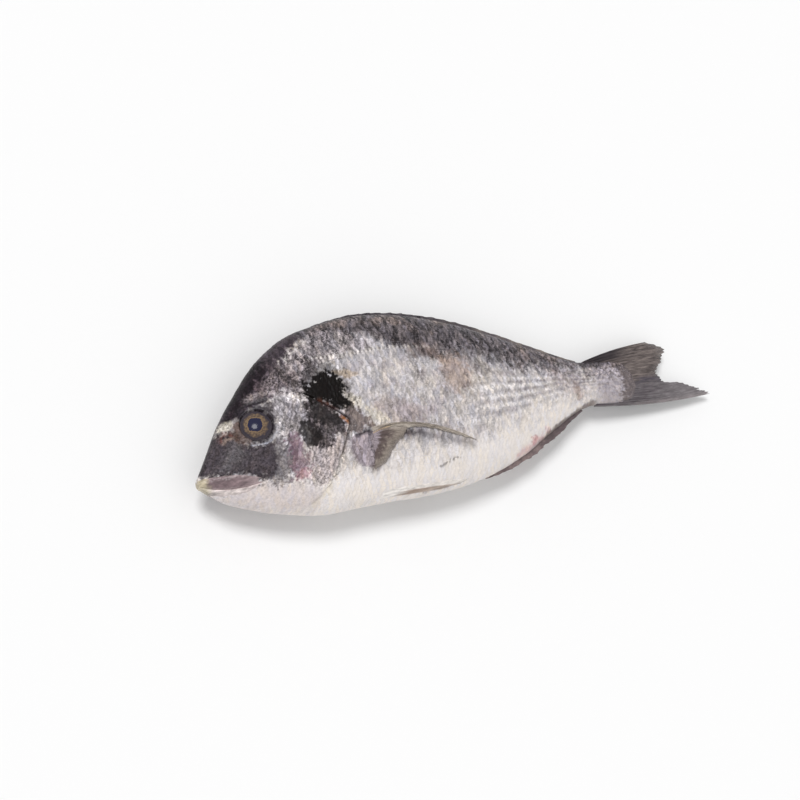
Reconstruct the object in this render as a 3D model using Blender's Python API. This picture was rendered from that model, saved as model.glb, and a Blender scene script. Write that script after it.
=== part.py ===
"""A whole raw sea bream, lying on its right side with its left flank up.

Every shape is first worked out in the fish's own frame: x runs from the snout to the tail, y from
the belly to the back, and z out of the left flank, with the fish straight. The function lay_down
then bends the tail and sets the fish on the table, which is the plane z = 0.
Lengths are in metres.
"""

import bpy
import bmesh
import numpy as np

MM = 0.001

# Body
BODY_LENGTH = 240.0 * MM  # snout to the tail base
BELLY_FULLNESS = 0.12  # how much the widest place lies below the middle of a section
# Sections across the body, in mm: distance from the snout, height of the back and depth of the
# belly from the long axis, and half the thickness.
SECTIONS_MM = (
    (0.0, -13.2, -18.2, 2.6),
    (7.2, -3.1, -24.5, 6.2),
    (14.4, 7.2, -29.0, 9.1),
    (24.0, 18.0, -33.1, 11.8),
    (36.0, 30.0, -37.2, 14.2),
    (48.0, 38.9, -40.3, 16.3),
    (60.0, 44.4, -42.0, 17.5),
    (72.0, 46.9, -42.0, 18.2),
    (96.0, 49.0, -42.7, 18.6),
    (120.0, 46.0, -43.0, 17.3),
    (144.0, 39.6, -40.1, 15.1),
    (168.0, 30.3, -32.6, 12.0),
    (192.0, 20.0, -20.8, 8.4),
    (216.0, 11.6, -11.4, 5.0),
    (228.0, 10.9, -11.2, 3.8),
    (238.0, 10.5, -10.8, 2.5),
    (244.0, 8.4, -8.8, 1.5),
    (247.0, 4.2, -5.0, 0.8),
)
SCALED_END = 247.0 * MM  # the scaled skin runs this far onto the tail fin
HEAD_END = 36.0 * MM
HEAD_STATIONS = 12
TRUNK_STATIONS = 34
AROUND = 36

# Gill cover and cheek plate: each ends in an ellipse, and stands a little proud of what is behind.
GILL_CENTRE = (28.7 * MM, -3.0 * MM)
GILL_RADII = (44.3 * MM, 36.0 * MM)
GILL_RISE = 1.2 * MM
# The gill cover's edge as a share of its ellipse, by degrees from tailwards: full at the throat,
# drawn in above, where the cover turns forward.
GILL_EDGE = (
    (-66.0, 1.03),
    (-42.0, 0.96),
    (-28.0, 0.91),
    (-18.0, 0.92),
    (-8.0, 0.95),
    (0.0, 0.975),
    (8.0, 0.9),
    (20.0, 0.8),
    (30.0, 0.76),
    (62.0, 0.74),
)
CHEEK_CENTRE = (24.0 * MM, -5.0 * MM)
CHEEK_RADII = (27.0 * MM, 27.0 * MM)
CHEEK_RISE = 0.6 * MM
CHEEK_EDGE = ((-66.0, 1.0), (62.0, 1.0))
PLATE_ARC = (-66.0, 62.0)  # degrees from tailwards
PLATE_START = 0.6  # share of the ellipse where the plate leaves the skin
PLATE_SUNK = 0.4 * MM
PLATE_ROOT = 2.0 * MM

# Mouth
MOUTH_LINE = ((0.0, -16.8 * MM), (12.5 * MM, -21.8 * MM), (19.5 * MM, -22.6 * MM), (25.6 * MM, -21.8 * MM))
MOUTH_GROOVE = 0.7 * MM
UPPER_LIP_RISE = 2.6 * MM
UPPER_LIP_RADIUS = 2.2 * MM
UPPER_LIP_SUNK = 1.4 * MM
LOWER_LIP_DROP = 1.9 * MM
LOWER_LIP_RADIUS = 1.5 * MM
LOWER_LIP_SUNK = 0.9 * MM
LIP_TAPER = 0.5
SNOUT_INSET = 0.3 * MM
LIP_FRONT = 1.6 * MM
MOUTH_POINTS = 7

# Eye and nostrils
EYE_CENTRE = (30.0 * MM, 4.2 * MM)
EYE_RADIUS = 7.0 * MM
EYE_DEPTH = 3.6 * MM
EYE_SUNK = 2.0 * MM
NOSTRILS = ((17.6 * MM, 2.2 * MM), (19.8 * MM, 0.6 * MM))
NOSTRIL_RADIUS = 0.8 * MM

# Rest on the table
FLAT_DEPTH = 1.2 * MM  # how far the flank is pressed flat
BEND_START = 84.0 * MM
TAIL_DROP = 0.07  # sinking of the tail, as a share of length past the bend, squared
TAIL_CURL = 0.07  # the same towards the belly
REST_HEIGHT = 18.65 * MM - FLAT_DEPTH

# Tail fin, as x and y of the ray tips, top to bottom, and the roots' line
TAIL_ROOT_X = 219.0 * MM
TAIL_ROOT_TOP = 11.9 * MM
TAIL_ROOT_LOW = -11.7 * MM
TAIL_TIPS = (
    (262.0 * MM, 20.4 * MM),
    (273.5 * MM, 17.0 * MM),
    (271.0 * MM, 13.0 * MM),
    (268.0 * MM, 8.6 * MM),
    (263.4 * MM, 4.4 * MM),
    (265.4 * MM, 1.2 * MM),
    (268.4 * MM, -1.3 * MM),
    (279.5 * MM, -2.2 * MM),
    (286.6 * MM, -5.0 * MM),
    (291.4 * MM, -6.9 * MM),
    (296.0 * MM, -8.8 * MM),
)
TAIL_BOW = 0.9 * MM  # arch of the uppermost ray
TAIL_BOW_CHANGE = 3.6  # over the fin, so that the lowest ray arches downwards
TAIL_RAYS = 16
FIN_ROOT_HALF = 1.5 * MM
FIN_EDGE_HALF = 0.5 * MM
RAY_RELIEF = 0.16

# Back fin, folded down, and anal fin
BACK_FIN = (66.0 * MM, 214.0 * MM)
BACK_FIN_HEIGHT = 1.4 * MM
BACK_FIN_SPINES = 13
ANAL_FIN = (143.0 * MM, 209.0 * MM)
ANAL_FIN_HEIGHT = 4.2 * MM
ANAL_FIN_FRONT = 0.35  # its height at the front, as a share of that at the rear
ANAL_FIN_SPINES = 12

# Breast fin and belly fin of one side, as rays over the flank
BREAST_ROOT_TOP = (80.0 * MM, -8.6 * MM)
BREAST_ROOT_LOW = (82.0 * MM, -16.5 * MM)
BREAST_TIPS = (
    (139.0 * MM, -23.8 * MM),
    (127.5 * MM, -19.4 * MM),
    (116.0 * MM, -15.3 * MM),
    (105.0 * MM, -13.9 * MM),
    (97.5 * MM, -15.8 * MM),
    (91.5 * MM, -20.2 * MM),
    (86.5 * MM, -25.6 * MM),
    (80.5 * MM, -27.8 * MM),
)
BREAST_BOW = 5.2 * MM
BREAST_RISE = 1.7 * MM
BELLY_FIN_ROOT_TOP = (82.0 * MM, -37.2 * MM)
BELLY_FIN_ROOT_LOW = (80.0 * MM, -40.3 * MM)
BELLY_FIN_TIPS = (
    (133.0 * MM, -39.6 * MM),
    (128.0 * MM, -40.9 * MM),
    (118.0 * MM, -41.9 * MM),
)
BELLY_FIN_RISE = 1.3 * MM
FIN_SUNK = 0.9 * MM

SKIN_COLOUR = (0.42, 0.42, 0.43, 1.0)


def smooth_curve(places, knots, values):
    """A curve through the values at the knots, with slopes taken from their neighbours."""
    knots = np.asarray(knots, float)
    values = np.asarray(values, float)
    slopes = np.gradient(values, knots)
    low = np.clip(np.searchsorted(knots, places, side="right") - 1, 0, len(knots) - 2)
    gap = knots[low + 1] - knots[low]
    t = np.clip((places - knots[low]) / gap, 0.0, 1.0)
    start = (1 + 2 * t) * (1 - t) ** 2 * values[low] + t * (1 - t) ** 2 * gap * slopes[low]
    end = t**2 * (3 - 2 * t) * values[low + 1] - t**2 * (1 - t) * gap * slopes[low + 1]
    return start + end


def fade(value):
    """0 below 0, 1 above 1, and a smooth run between."""
    t = np.clip(value, 0.0, 1.0)
    return t * t * (3.0 - 2.0 * t)


def section(x):
    """Height of the back, depth of the belly and half thickness at distances x."""
    table = np.array(SECTIONS_MM) * MM
    return [smooth_curve(x, table[:, 0], table[:, column]) for column in (1, 2, 3)]


def skin_point(x, angle, out=0.0):
    """Points of the skin: angle 0 is the back, half a turn the belly, and the left flank between.

    out lifts the point off the skin, at right angles to the section's outline.
    """
    x, angle, out = np.broadcast_arrays(np.asarray(x, float), angle, out)
    back, belly, half = section(x)
    middle = (back + belly) / 2
    tall = (back - belly) / 2
    y = middle + tall * np.cos(angle)
    z = half * np.sin(angle) * (1 - BELLY_FULLNESS * np.cos(angle))
    along_y = -tall * np.sin(angle)
    along_z = half * (np.cos(angle) - BELLY_FULLNESS * np.cos(2 * angle))
    length = np.hypot(along_y, along_z)
    return np.stack([x, y + out * along_z / length, z - out * along_y / length], -1)


def flank_point(x, y, out=0.0):
    """The point of the left flank at x and y, lifted off the skin by out."""
    back, belly, _ = section(np.asarray(x, float))
    share = (2 * np.asarray(y, float) - back - belly) / (back - belly)
    return skin_point(x, np.arccos(np.clip(share, -1.0, 1.0)), out)


def lay_down(points):
    """Bends the tail and sets the fish on the table."""
    points = np.array(points, float)
    past = np.maximum(points[..., 0] - BEND_START, 0.0) ** 2 / BODY_LENGTH
    points[..., 1] -= TAIL_CURL * past
    points[..., 2] += REST_HEIGHT - TAIL_DROP * past
    return points


def mirrored(points):
    """The same points on the right side."""
    return np.asarray(points) * (1.0, 1.0, -1.0)


def add_mesh(name, points, faces, collection):
    """A closed mesh in its collection, with its faces turned outwards."""
    mesh = bpy.data.meshes.new(name)
    mesh.from_pydata([tuple(p) for p in points], [], faces)
    shape = bmesh.new()
    shape.from_mesh(mesh)
    bmesh.ops.recalc_face_normals(shape, faces=shape.faces)
    shape.to_mesh(mesh)
    shape.free()
    made = bpy.data.objects.new(name, mesh)
    collection.objects.link(made)
    return made


def sheet_solid(name, top, bottom, collection):
    """The solid between two grids of points of the same size."""
    rows, columns = top.shape[:2]
    count = rows * columns
    number = np.arange(count).reshape(rows, columns)
    faces = []
    for i in range(rows - 1):
        for j in range(columns - 1):
            ring = [number[i, j], number[i + 1, j], number[i + 1, j + 1], number[i, j + 1]]
            faces.append([int(n) for n in ring])
            faces.append([int(n) + count for n in reversed(ring)])
    rim = list(number[0, :]) + list(number[1:, -1])
    rim += list(number[-1, -2::-1]) + list(number[-2:0:-1, 0])
    for here, after in zip(rim, rim[1:] + rim[:1]):
        faces.append([int(here), int(after), int(after) + count, int(here) + count])
    points = np.concatenate([top.reshape(-1, 3), bottom.reshape(-1, 3)])
    return add_mesh(name, points, faces, collection)


def make_body(collection):
    """The body: rings of skin from the snout to the tail base, closed at both ends."""
    head = np.linspace(0.0, HEAD_END, HEAD_STATIONS, endpoint=False)
    trunk = np.linspace(HEAD_END, SCALED_END, TRUNK_STATIONS)
    stations = np.concatenate([head, trunk])
    angles = np.linspace(0.0, 2 * np.pi, AROUND, endpoint=False)
    left = angles <= np.pi + 1e-9
    rings = skin_point(stations[:, None], np.where(left, angles, 2 * np.pi - angles)[None])
    rings = rings * np.where(left, 1.0, -1.0)[None, :, None] ** np.array([0, 0, 1])
    points = lay_down(rings).reshape(-1, 3)
    faces = []
    for i in range(len(stations) - 1):
        for j in range(AROUND):
            k = (j + 1) % AROUND
            here = i * AROUND
            after = here + AROUND
            faces.append([here + j, here + k, after + k, after + j])
    faces.append(list(range(AROUND)))
    faces.append([len(points) - AROUND + j for j in reversed(range(AROUND))])
    return add_mesh("fish", points, faces, collection)


def make_plate(name, centre, radii, edge, rise, side, collection):
    """A bony plate of the head, which leaves the skin gently and ends in a clean rear edge."""
    reach = np.linspace(PLATE_START, 1.0, 6)[:, None]
    degrees = np.linspace(*PLATE_ARC, 25)
    edge = np.array(edge)
    share = smooth_curve(degrees, edge[:, 0], edge[:, 1])
    turn = np.radians(degrees)[None]
    x = centre[0] + radii[0] * reach * share * np.cos(turn)
    y = centre[1] + radii[1] * reach * share * np.sin(turn)
    out = fade((reach - PLATE_START) / (1 - PLATE_START))
    ends = np.sin(np.linspace(0.0, np.pi, turn.size))[None] ** 0.6
    top = flank_point(x, y, (rise + PLATE_SUNK) * out * ends - PLATE_SUNK)
    bottom = flank_point(x, y, -PLATE_ROOT)
    if side < 0:
        top, bottom = mirrored(top), mirrored(bottom)
    return sheet_solid(name, lay_down(top), lay_down(bottom), collection)


def fan(roots, tips, rays, steps, bow):
    """Grid of x and y over a fin: rays from the root line to a curve through the tips."""
    share = np.linspace(0.0, 1.0, rays)
    knots = np.linspace(0.0, 1.0, len(tips))
    tips = np.array(tips)
    end = np.stack([smooth_curve(share, knots, tips[:, axis]) for axis in (0, 1)], -1)
    start = np.array(roots[0]) + share[:, None] * (np.array(roots[1]) - np.array(roots[0]))
    along = np.linspace(0.0, 1.0, steps)
    grid = start[:, None] + along[None, :, None] * (end - start)[:, None]
    grid[..., 1] += 4 * bow(share)[:, None] * (along * (1 - along))[None]
    return grid, share, along


def ray_wave(rays):
    """Swells on every other line of a fin's grid."""
    return 1.0 + RAY_RELIEF * np.where(np.arange(rays) % 2 == 0, 1.0, -1.0)


def tail_bow(share):
    """How far each ray of the tail fin arches, from the uppermost to the lowest."""
    return TAIL_BOW * (1 - TAIL_BOW_CHANGE * share)


def make_tail_fin(collection):
    """The forked tail fin, half folded, with its rays as swells."""
    roots = ((TAIL_ROOT_X, TAIL_ROOT_TOP), (TAIL_ROOT_X, TAIL_ROOT_LOW))
    rays = 2 * TAIL_RAYS - 1
    grid, _, along = fan(roots, TAIL_TIPS, rays, 9, tail_bow)
    half = FIN_ROOT_HALF + (FIN_EDGE_HALF - FIN_ROOT_HALF) * along[None] ** 0.6
    half = half * ray_wave(rays)[:, None]
    top = lay_down(np.concatenate([grid, half[..., None]], -1))
    bottom = lay_down(np.concatenate([grid, -half[..., None]], -1))
    return sheet_solid("tail_fin", top, bottom, collection)


def make_ridge_fin(name, reach, height, front, spines, side, collection):
    """A folded fin along the back (side 1) or the belly (side -1), with its spines as teeth.

    Its height grows from a share, front, of the full height to all of it at the rear.
    """
    x = np.linspace(reach[0], reach[1], 4 * spines + 1)
    share = np.linspace(0.0, 1.0, len(x))
    back, belly, _ = section(x)
    line = back if side > 0 else belly
    teeth = 1.0 + 0.22 * (share * spines % 1.0)
    growth = front + (1 - front) * share
    tall = height * growth * teeth * np.sin(np.pi * (0.98 * share + 0.01)) ** 0.5
    levels = np.linspace(0.0, 1.0, 4)
    y = line[:, None] + side * (-1.5 * MM + levels[None] * (tall[:, None] + 1.5 * MM))
    half = (1.5 - 0.95 * levels)[None] * MM * np.ones_like(y)
    wide = np.repeat(x[:, None], len(levels), 1)
    top = lay_down(np.stack([wide, y, half], -1))
    bottom = lay_down(np.stack([wide, y, -half], -1))
    return sheet_solid(name, top, bottom, collection)


def make_flank_fin(name, roots, tips, rise, bow, rays, side, collection):
    """A folded fin that lies against the flank, with its lower face sunk into the skin."""
    grid, share, along = fan(roots, tips, rays, 12, lambda share: bow * (1 - share) ** 1.5)
    taper = (0.45 + 0.55 * np.sin(np.pi * np.clip(along * 0.8 + 0.12, 0, 1)))[None]
    rim = (0.35 + 0.65 * np.sin(np.pi * np.clip(share * 0.9 + 0.05, 0, 1)) ** 0.5)[:, None]
    lift = rise * taper * rim * ray_wave(rays)[:, None]
    top = flank_point(grid[..., 0], grid[..., 1], lift)
    bottom = flank_point(grid[..., 0], grid[..., 1], -FIN_SUNK)
    if side < 0:
        top, bottom = mirrored(top), mirrored(bottom)
    return sheet_solid(name, lay_down(top), lay_down(bottom), collection)


def mesh_from_curve(name, points, radius, taper, collection):
    """A round bar along the points, thinner at its ends by taper, as a closed mesh."""
    data = bpy.data.curves.new(name, "CURVE")
    data.dimensions = "3D"
    data.bevel_depth = radius
    data.bevel_resolution = 2
    data.use_fill_caps = True
    spline = data.splines.new("POLY")
    spline.points.add(len(points) - 1)
    swell = np.sin(np.linspace(0.0, np.pi, len(points))) ** 0.5
    for place, point, size in zip(spline.points, points, taper + (1 - taper) * swell):
        place.co = (*point, 1.0)
        place.radius = size
    curve = bpy.data.objects.new(name + "_line", data)
    bpy.context.scene.collection.objects.link(curve)
    bpy.context.view_layer.update()
    graph = bpy.context.evaluated_depsgraph_get()
    mesh = bpy.data.meshes.new_from_object(curve.evaluated_get(graph))
    bpy.data.objects.remove(curve)
    shape = bmesh.new()
    shape.from_mesh(mesh)
    bmesh.ops.remove_doubles(shape, verts=shape.verts, dist=0.01 * MM)
    bmesh.ops.recalc_face_normals(shape, faces=shape.faces)
    shape.to_mesh(mesh)
    shape.free()
    made = bpy.data.objects.new(name, mesh)
    collection.objects.link(made)
    return made


def mouth_path(shift, sunk):
    """Points round the mouth from the left corner past the snout to the right corner."""
    line = np.array(MOUTH_LINE)
    x = np.linspace(line[-1, 0], LIP_FRONT, MOUTH_POINTS)
    y = smooth_curve(x, line[:, 0], line[:, 1]) + shift * (0.45 + 0.55 * fade(x / (10 * MM)))
    left = flank_point(x, y, -sunk)
    tip = np.array([[sunk + SNOUT_INSET, left[-1, 1], 0.0]])
    return lay_down(np.concatenate([left, tip, mirrored(left)[::-1]]))


def flank_frame(x, y):
    """Axes of the left flank at x and y as columns: tailwards, towards the back, and outwards."""
    step = 0.5 * MM
    tailwards = flank_point(x + step, y) - flank_point(x - step, y)
    upwards = flank_point(x, y + step) - flank_point(x, y - step)
    tailwards = tailwards / np.linalg.norm(tailwards)
    outwards = np.cross(tailwards, upwards)
    outwards = outwards / np.linalg.norm(outwards)
    return np.stack([tailwards, np.cross(outwards, tailwards), outwards], 1)


def make_flank_ball(name, place, radii, sunk, side, collection):
    """An ellipsoid set into the flank, its short axis pointing outwards."""
    shape = bmesh.new()
    bmesh.ops.create_uvsphere(shape, u_segments=16, v_segments=10, radius=1.0)
    mesh = bpy.data.meshes.new(name)
    shape.to_mesh(mesh)
    shape.free()
    points = np.array([vertex.co for vertex in mesh.vertices]) * radii
    points = points @ flank_frame(*place).T + flank_point(*place, -sunk)
    faces = [list(face.vertices) for face in mesh.polygons]
    bpy.data.meshes.remove(mesh)
    if side < 0:
        points = mirrored(points)
    return add_mesh(name, lay_down(points), faces, collection)


def make_head_parts(pieces, cutters):
    """Lips, plates and eyes to join to the body, mouth groove and nostrils to cut from it."""
    upper = mouth_path(UPPER_LIP_RISE, UPPER_LIP_SUNK)
    mesh_from_curve("upper_lip", upper, UPPER_LIP_RADIUS, LIP_TAPER, pieces)
    lower = mouth_path(-LOWER_LIP_DROP, LOWER_LIP_SUNK)
    mesh_from_curve("lower_lip", lower, LOWER_LIP_RADIUS, LIP_TAPER, pieces)
    mesh_from_curve("mouth_groove", mouth_path(0.0, 0.0), MOUTH_GROOVE, LIP_TAPER, cutters)
    for side, word in ((1, "left"), (-1, "right")):
        gill = (GILL_CENTRE, GILL_RADII, GILL_EDGE, GILL_RISE)
        make_plate("gill_cover_" + word, *gill, side, pieces)
        cheek = (CHEEK_CENTRE, CHEEK_RADII, CHEEK_EDGE, CHEEK_RISE)
        make_plate("cheek_plate_" + word, *cheek, side, pieces)
        eye = (EYE_RADIUS, EYE_RADIUS, EYE_DEPTH)
        make_flank_ball("eye_" + word, EYE_CENTRE, eye, EYE_SUNK, side, pieces)
        for place, end in zip(NOSTRILS, ("front", "rear")):
            radii = (NOSTRIL_RADIUS,) * 3
            make_flank_ball(f"nostril_{end}_{word}", place, radii, 0.0, side, cutters)


def make_fins(pieces):
    """All fins, joined to the body later."""
    make_tail_fin(pieces)
    make_ridge_fin("back_fin", BACK_FIN, BACK_FIN_HEIGHT, 1.0, BACK_FIN_SPINES, 1, pieces)
    size = (ANAL_FIN_HEIGHT, ANAL_FIN_FRONT)
    make_ridge_fin("anal_fin", ANAL_FIN, *size, ANAL_FIN_SPINES, -1, pieces)
    for side, word in ((1, "left"), (-1, "right")):
        roots = (BREAST_ROOT_TOP, BREAST_ROOT_LOW)
        name = "breast_fin_" + word
        make_flank_fin(name, roots, BREAST_TIPS, BREAST_RISE, BREAST_BOW, 13, side, pieces)
        roots = (BELLY_FIN_ROOT_TOP, BELLY_FIN_ROOT_LOW)
        name = "belly_fin_" + word
        make_flank_fin(name, roots, BELLY_FIN_TIPS, BELLY_FIN_RISE, 0.0, 7, side, pieces)


def make_table_cutter(collection):
    """A box under the table's top, which presses the lower flank flat."""
    shape = bmesh.new()
    bmesh.ops.create_cube(shape, size=1.0)
    mesh = bpy.data.meshes.new("table_cutter")
    shape.to_mesh(mesh)
    shape.free()
    for vertex in mesh.vertices:
        vertex.co.x = vertex.co.x * 2 * BODY_LENGTH + BODY_LENGTH / 2
        vertex.co.y *= BODY_LENGTH
        vertex.co.z = (vertex.co.z - 0.5) * BODY_LENGTH / 4
    made = bpy.data.objects.new("table_cutter", mesh)
    collection.objects.link(made)
    return made


def combine(body, collection, operation):
    """Joins a collection to the body or cuts it away, and removes the collection's objects."""
    change = body.modifiers.new(operation.lower(), "BOOLEAN")
    change.operation = operation
    change.operand_type = "COLLECTION"
    change.collection = collection
    change.solver = "EXACT"
    bpy.context.view_layer.update()
    graph = bpy.context.evaluated_depsgraph_get()
    joined = bpy.data.meshes.new_from_object(body.evaluated_get(graph))
    body.modifiers.clear()
    body.data = joined
    for used in list(collection.objects):
        bpy.data.objects.remove(used)


def centre_over_origin(body):
    """Moves the mesh so that the origin is the middle of its box, at the table."""
    points = np.array([vertex.co for vertex in body.data.vertices])
    low, high = points.min(axis=0), points.max(axis=0)
    shift = np.array([(low[0] + high[0]) / 2, (low[1] + high[1]) / 2, 0.0])
    for vertex in body.data.vertices:
        vertex.co = vertex.co.copy() - type(vertex.co)(shift)
    print("box in the fish's frame, mm:", (low / MM).round(2), (high / MM).round(2))


def give_material(body):
    """One plain skin material."""
    skin = bpy.data.materials.new("fish_skin")
    skin.use_nodes = True
    shader = skin.node_tree.nodes["Principled BSDF"]
    shader.inputs["Base Color"].default_value = SKIN_COLOUR
    shader.inputs["Roughness"].default_value = 0.4
    shader.inputs["Metallic"].default_value = 0.2
    body.data.materials.clear()
    body.data.materials.append(skin)
    body.data.shade_smooth()
    body.data.set_sharp_from_angle(angle=0.7)


def new_collection(name):
    """A collection of the scene."""
    made = bpy.data.collections.new(name)
    bpy.context.scene.collection.children.link(made)
    return made


def main():
    """Builds the fish as one solid."""
    for old in list(bpy.data.objects):
        bpy.data.objects.remove(old)
    fish = new_collection("whole_raw_fish")
    pieces = new_collection("joined_pieces")
    cutters = new_collection("cutters")
    body = make_body(fish)
    make_fins(pieces)
    make_head_parts(pieces, cutters)
    combine(body, pieces, "UNION")
    make_table_cutter(cutters)
    combine(body, cutters, "DIFFERENCE")
    centre_over_origin(body)
    give_material(body)
    print("triangles:", sum(len(face.vertices) - 2 for face in body.data.polygons))


main()
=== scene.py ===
# %% [markdown]
# # A whole raw sea bream
#
# The fish is one thing, so the solid model is one closed body. Here that body gets its looks: a wet
# scaly skin, plates over the gills, glassy eyes, and fins with their rays. The new surfaces follow
# the same measured sections as the solid, so they lie where the solid lies.

import bmesh
import bpy
import numpy as np
from mathutils import Matrix, Vector


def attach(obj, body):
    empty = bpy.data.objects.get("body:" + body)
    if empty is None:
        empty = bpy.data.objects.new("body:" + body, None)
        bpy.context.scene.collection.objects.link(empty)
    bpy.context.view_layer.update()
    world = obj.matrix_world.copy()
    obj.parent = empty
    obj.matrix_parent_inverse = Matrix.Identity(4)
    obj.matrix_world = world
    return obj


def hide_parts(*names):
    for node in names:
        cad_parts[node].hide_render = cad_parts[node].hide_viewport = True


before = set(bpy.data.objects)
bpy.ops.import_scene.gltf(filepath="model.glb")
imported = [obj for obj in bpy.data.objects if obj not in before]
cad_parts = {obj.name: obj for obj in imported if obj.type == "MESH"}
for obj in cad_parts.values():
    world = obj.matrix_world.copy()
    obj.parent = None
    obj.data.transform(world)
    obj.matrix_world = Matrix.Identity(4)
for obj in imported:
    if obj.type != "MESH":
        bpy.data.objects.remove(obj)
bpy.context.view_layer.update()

MM = 0.001

# %% [markdown]
# ## The form of the body
#
# A fish is easiest to describe straight: x runs from the snout to the tail, y towards the back and z
# out of the left flank, all in millimetres. Sections across the body say how high the back is, how
# deep the belly and how thick the flesh. A smooth curve joins them. Only at the very end is the fish
# bent and laid on the table, by one function that every piece goes through.

# %% Sections of the body
# Distance from the snout, height of the back, height of the belly, half thickness
SECTIONS = np.array([
    (0.0, -13.2, -18.2, 2.6),
    (7.2, -3.1, -24.5, 6.2),
    (14.4, 7.2, -29.0, 9.1),
    (24.0, 18.0, -33.1, 11.8),
    (36.0, 30.0, -37.2, 14.2),
    (48.0, 38.9, -40.3, 16.3),
    (60.0, 44.4, -42.0, 17.5),
    (72.0, 46.9, -42.0, 18.2),
    (96.0, 49.0, -42.7, 18.6),
    (120.0, 46.0, -43.0, 17.3),
    (144.0, 39.6, -40.1, 15.1),
    (168.0, 30.3, -32.6, 12.0),
    (192.0, 20.0, -20.8, 8.4),
    (216.0, 11.6, -11.4, 5.0),
    (228.0, 10.9, -11.2, 3.8),
    (238.0, 10.5, -10.8, 2.5),
    (244.0, 8.4, -8.8, 1.5),
    (247.0, 4.2, -5.0, 0.8),
])
BODY_LENGTH = 240.0
BELLY_FULLNESS = 0.12
SNOUT_CAP = 0.8
FISH_MIDDLE = (147.76, 3.405)
REST_HEIGHT = 17.45
BEND_START = 84.0
TAIL_DROP = 0.07
TAIL_CURL = 0.07


def smooth_curve(places, knots, values):
    """Cubic pieces through the values at the knots; each slope comes from the two neighbours."""
    knots = np.asarray(knots, float)
    values = np.asarray(values, float)
    slopes = np.gradient(values, knots)
    low = np.clip(np.searchsorted(knots, places, side="right") - 1, 0, len(knots) - 2)
    gap = knots[low + 1] - knots[low]
    t = np.clip((places - knots[low]) / gap, 0.0, 1.0)
    start = (1 + 2 * t) * (1 - t) ** 2 * values[low] + t * (1 - t) ** 2 * gap * slopes[low]
    end = t**2 * (3 - 2 * t) * values[low + 1] - t**2 * (1 - t) * gap * slopes[low + 1]
    return start + end


def fade(value):
    """3 t squared less 2 t cubed: 0 below 0, 1 above 1, and smooth between."""
    t = np.clip(value, 0.0, 1.0)
    return t * t * (3.0 - 2.0 * t)


def section(x):
    """Back, belly and half thickness at x. Ahead of x = 0 the section shrinks like half a ball."""
    behind = np.maximum(x, 0.0)
    back, belly, half = [smooth_curve(behind, SECTIONS[:, 0], SECTIONS[:, i]) for i in (1, 2, 3)]
    shrink = np.sqrt(np.clip(1 - (np.minimum(x, 0.0) / SNOUT_CAP) ** 2, 0.0, 1.0))
    middle = (back + belly) / 2
    return middle + (back - middle) * shrink, middle + (belly - middle) * shrink, half * shrink


print("thickest place, mm:", round(2 * section(np.linspace(0, 246, 99))[2].max(), 1))

# %% [markdown]
# A point of the skin needs two numbers: how far from the snout, and how far round from the back to
# the belly. The second one, `round_share`, is stretched a little so that equal steps of it are
# nearly equal lengths of skin, or else the scales would be squeezed at the back and the belly.

# %% From two numbers to a point of the skin
EVEN_STEPS = 0.21


def skin_at_angle(x, angle, out=0.0):
    """The left flank's point at an angle of an egg-shaped section, lifted off it by out.

    y is the middle plus half the height times the angle's cosine. z is half the thickness times the
    angle's sine, times one less a share of the cosine, which makes the belly fuller than the back.
    """
    x, angle, out = np.broadcast_arrays(np.asarray(x, float), angle, out)
    back, belly, half = section(x)
    tall = (back - belly) / 2
    y = (back + belly) / 2 + tall * np.cos(angle)
    z = half * np.sin(angle) * (1 - BELLY_FULLNESS * np.cos(angle))
    along_y = -tall * np.sin(angle)
    along_z = half * (np.cos(angle) - BELLY_FULLNESS * np.cos(2 * angle))
    length = np.maximum(np.hypot(along_y, along_z), 1e-6)
    return np.stack([x, y + out * along_z / length, z - out * along_y / length], -1)


def skin_point(x, round_share, out=0.0):
    """The same by share of the way round: half a turn times the share, plus a small sine wave."""
    angle = np.pi * round_share + EVEN_STEPS * np.sin(2 * np.pi * round_share)
    return skin_at_angle(x, angle, out)


def flank_point(x, y, out=0.0):
    """The left flank's point at x and y: the angle is the arc cosine of the share of the height."""
    back, belly, _ = section(np.asarray(x, float))
    share = (2 * np.asarray(y, float) - back - belly) / np.maximum(back - belly, 1e-6)
    return skin_at_angle(x, np.arccos(np.clip(share, -1.0, 1.0)), out)


def share_at(x, y):
    """The share of the way round at x and y, found by three steps of repeated correction."""
    back, belly, _ = section(np.asarray(x, float))
    height = (2 * np.asarray(y, float) - back - belly) / np.maximum(back - belly, 1e-6)
    angle = np.arccos(np.clip(height, -1.0, 1.0))
    share = angle / np.pi
    for _ in range(3):
        share = (angle - EVEN_STEPS * np.sin(2 * np.pi * share)) / np.pi
    return share


PRESS_LEVEL = 0.3
PRESS_FADE = 2.0


def to_table(points, side=1):
    """Bends the tail, lays the fish down and turns millimetres into metres.

    Past the bend's start both the drop and the curl grow with the square of the distance. What
    would come below a level just over the table is pressed under it: its height is the level times
    e to the depth below it over PRESS_FADE, so layers that are pressed together keep their order.
    """
    points = np.array(points, float)
    points[..., 2] *= side
    past = np.maximum(points[..., 0] - BEND_START, 0.0) ** 2 / BODY_LENGTH
    points[..., 0] -= FISH_MIDDLE[0]
    points[..., 1] -= FISH_MIDDLE[1] + TAIL_CURL * past
    points[..., 2] += REST_HEIGHT - TAIL_DROP * past
    height = points[..., 2]
    pressed = PRESS_LEVEL * np.exp((height - PRESS_LEVEL) / PRESS_FADE)
    points[..., 2] = np.where(height < PRESS_LEVEL, pressed, height)
    return points * MM


print("eye level point on the table, mm:", (to_table(flank_point(30.0, 4.2)) / MM).round(1).tolist())

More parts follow.
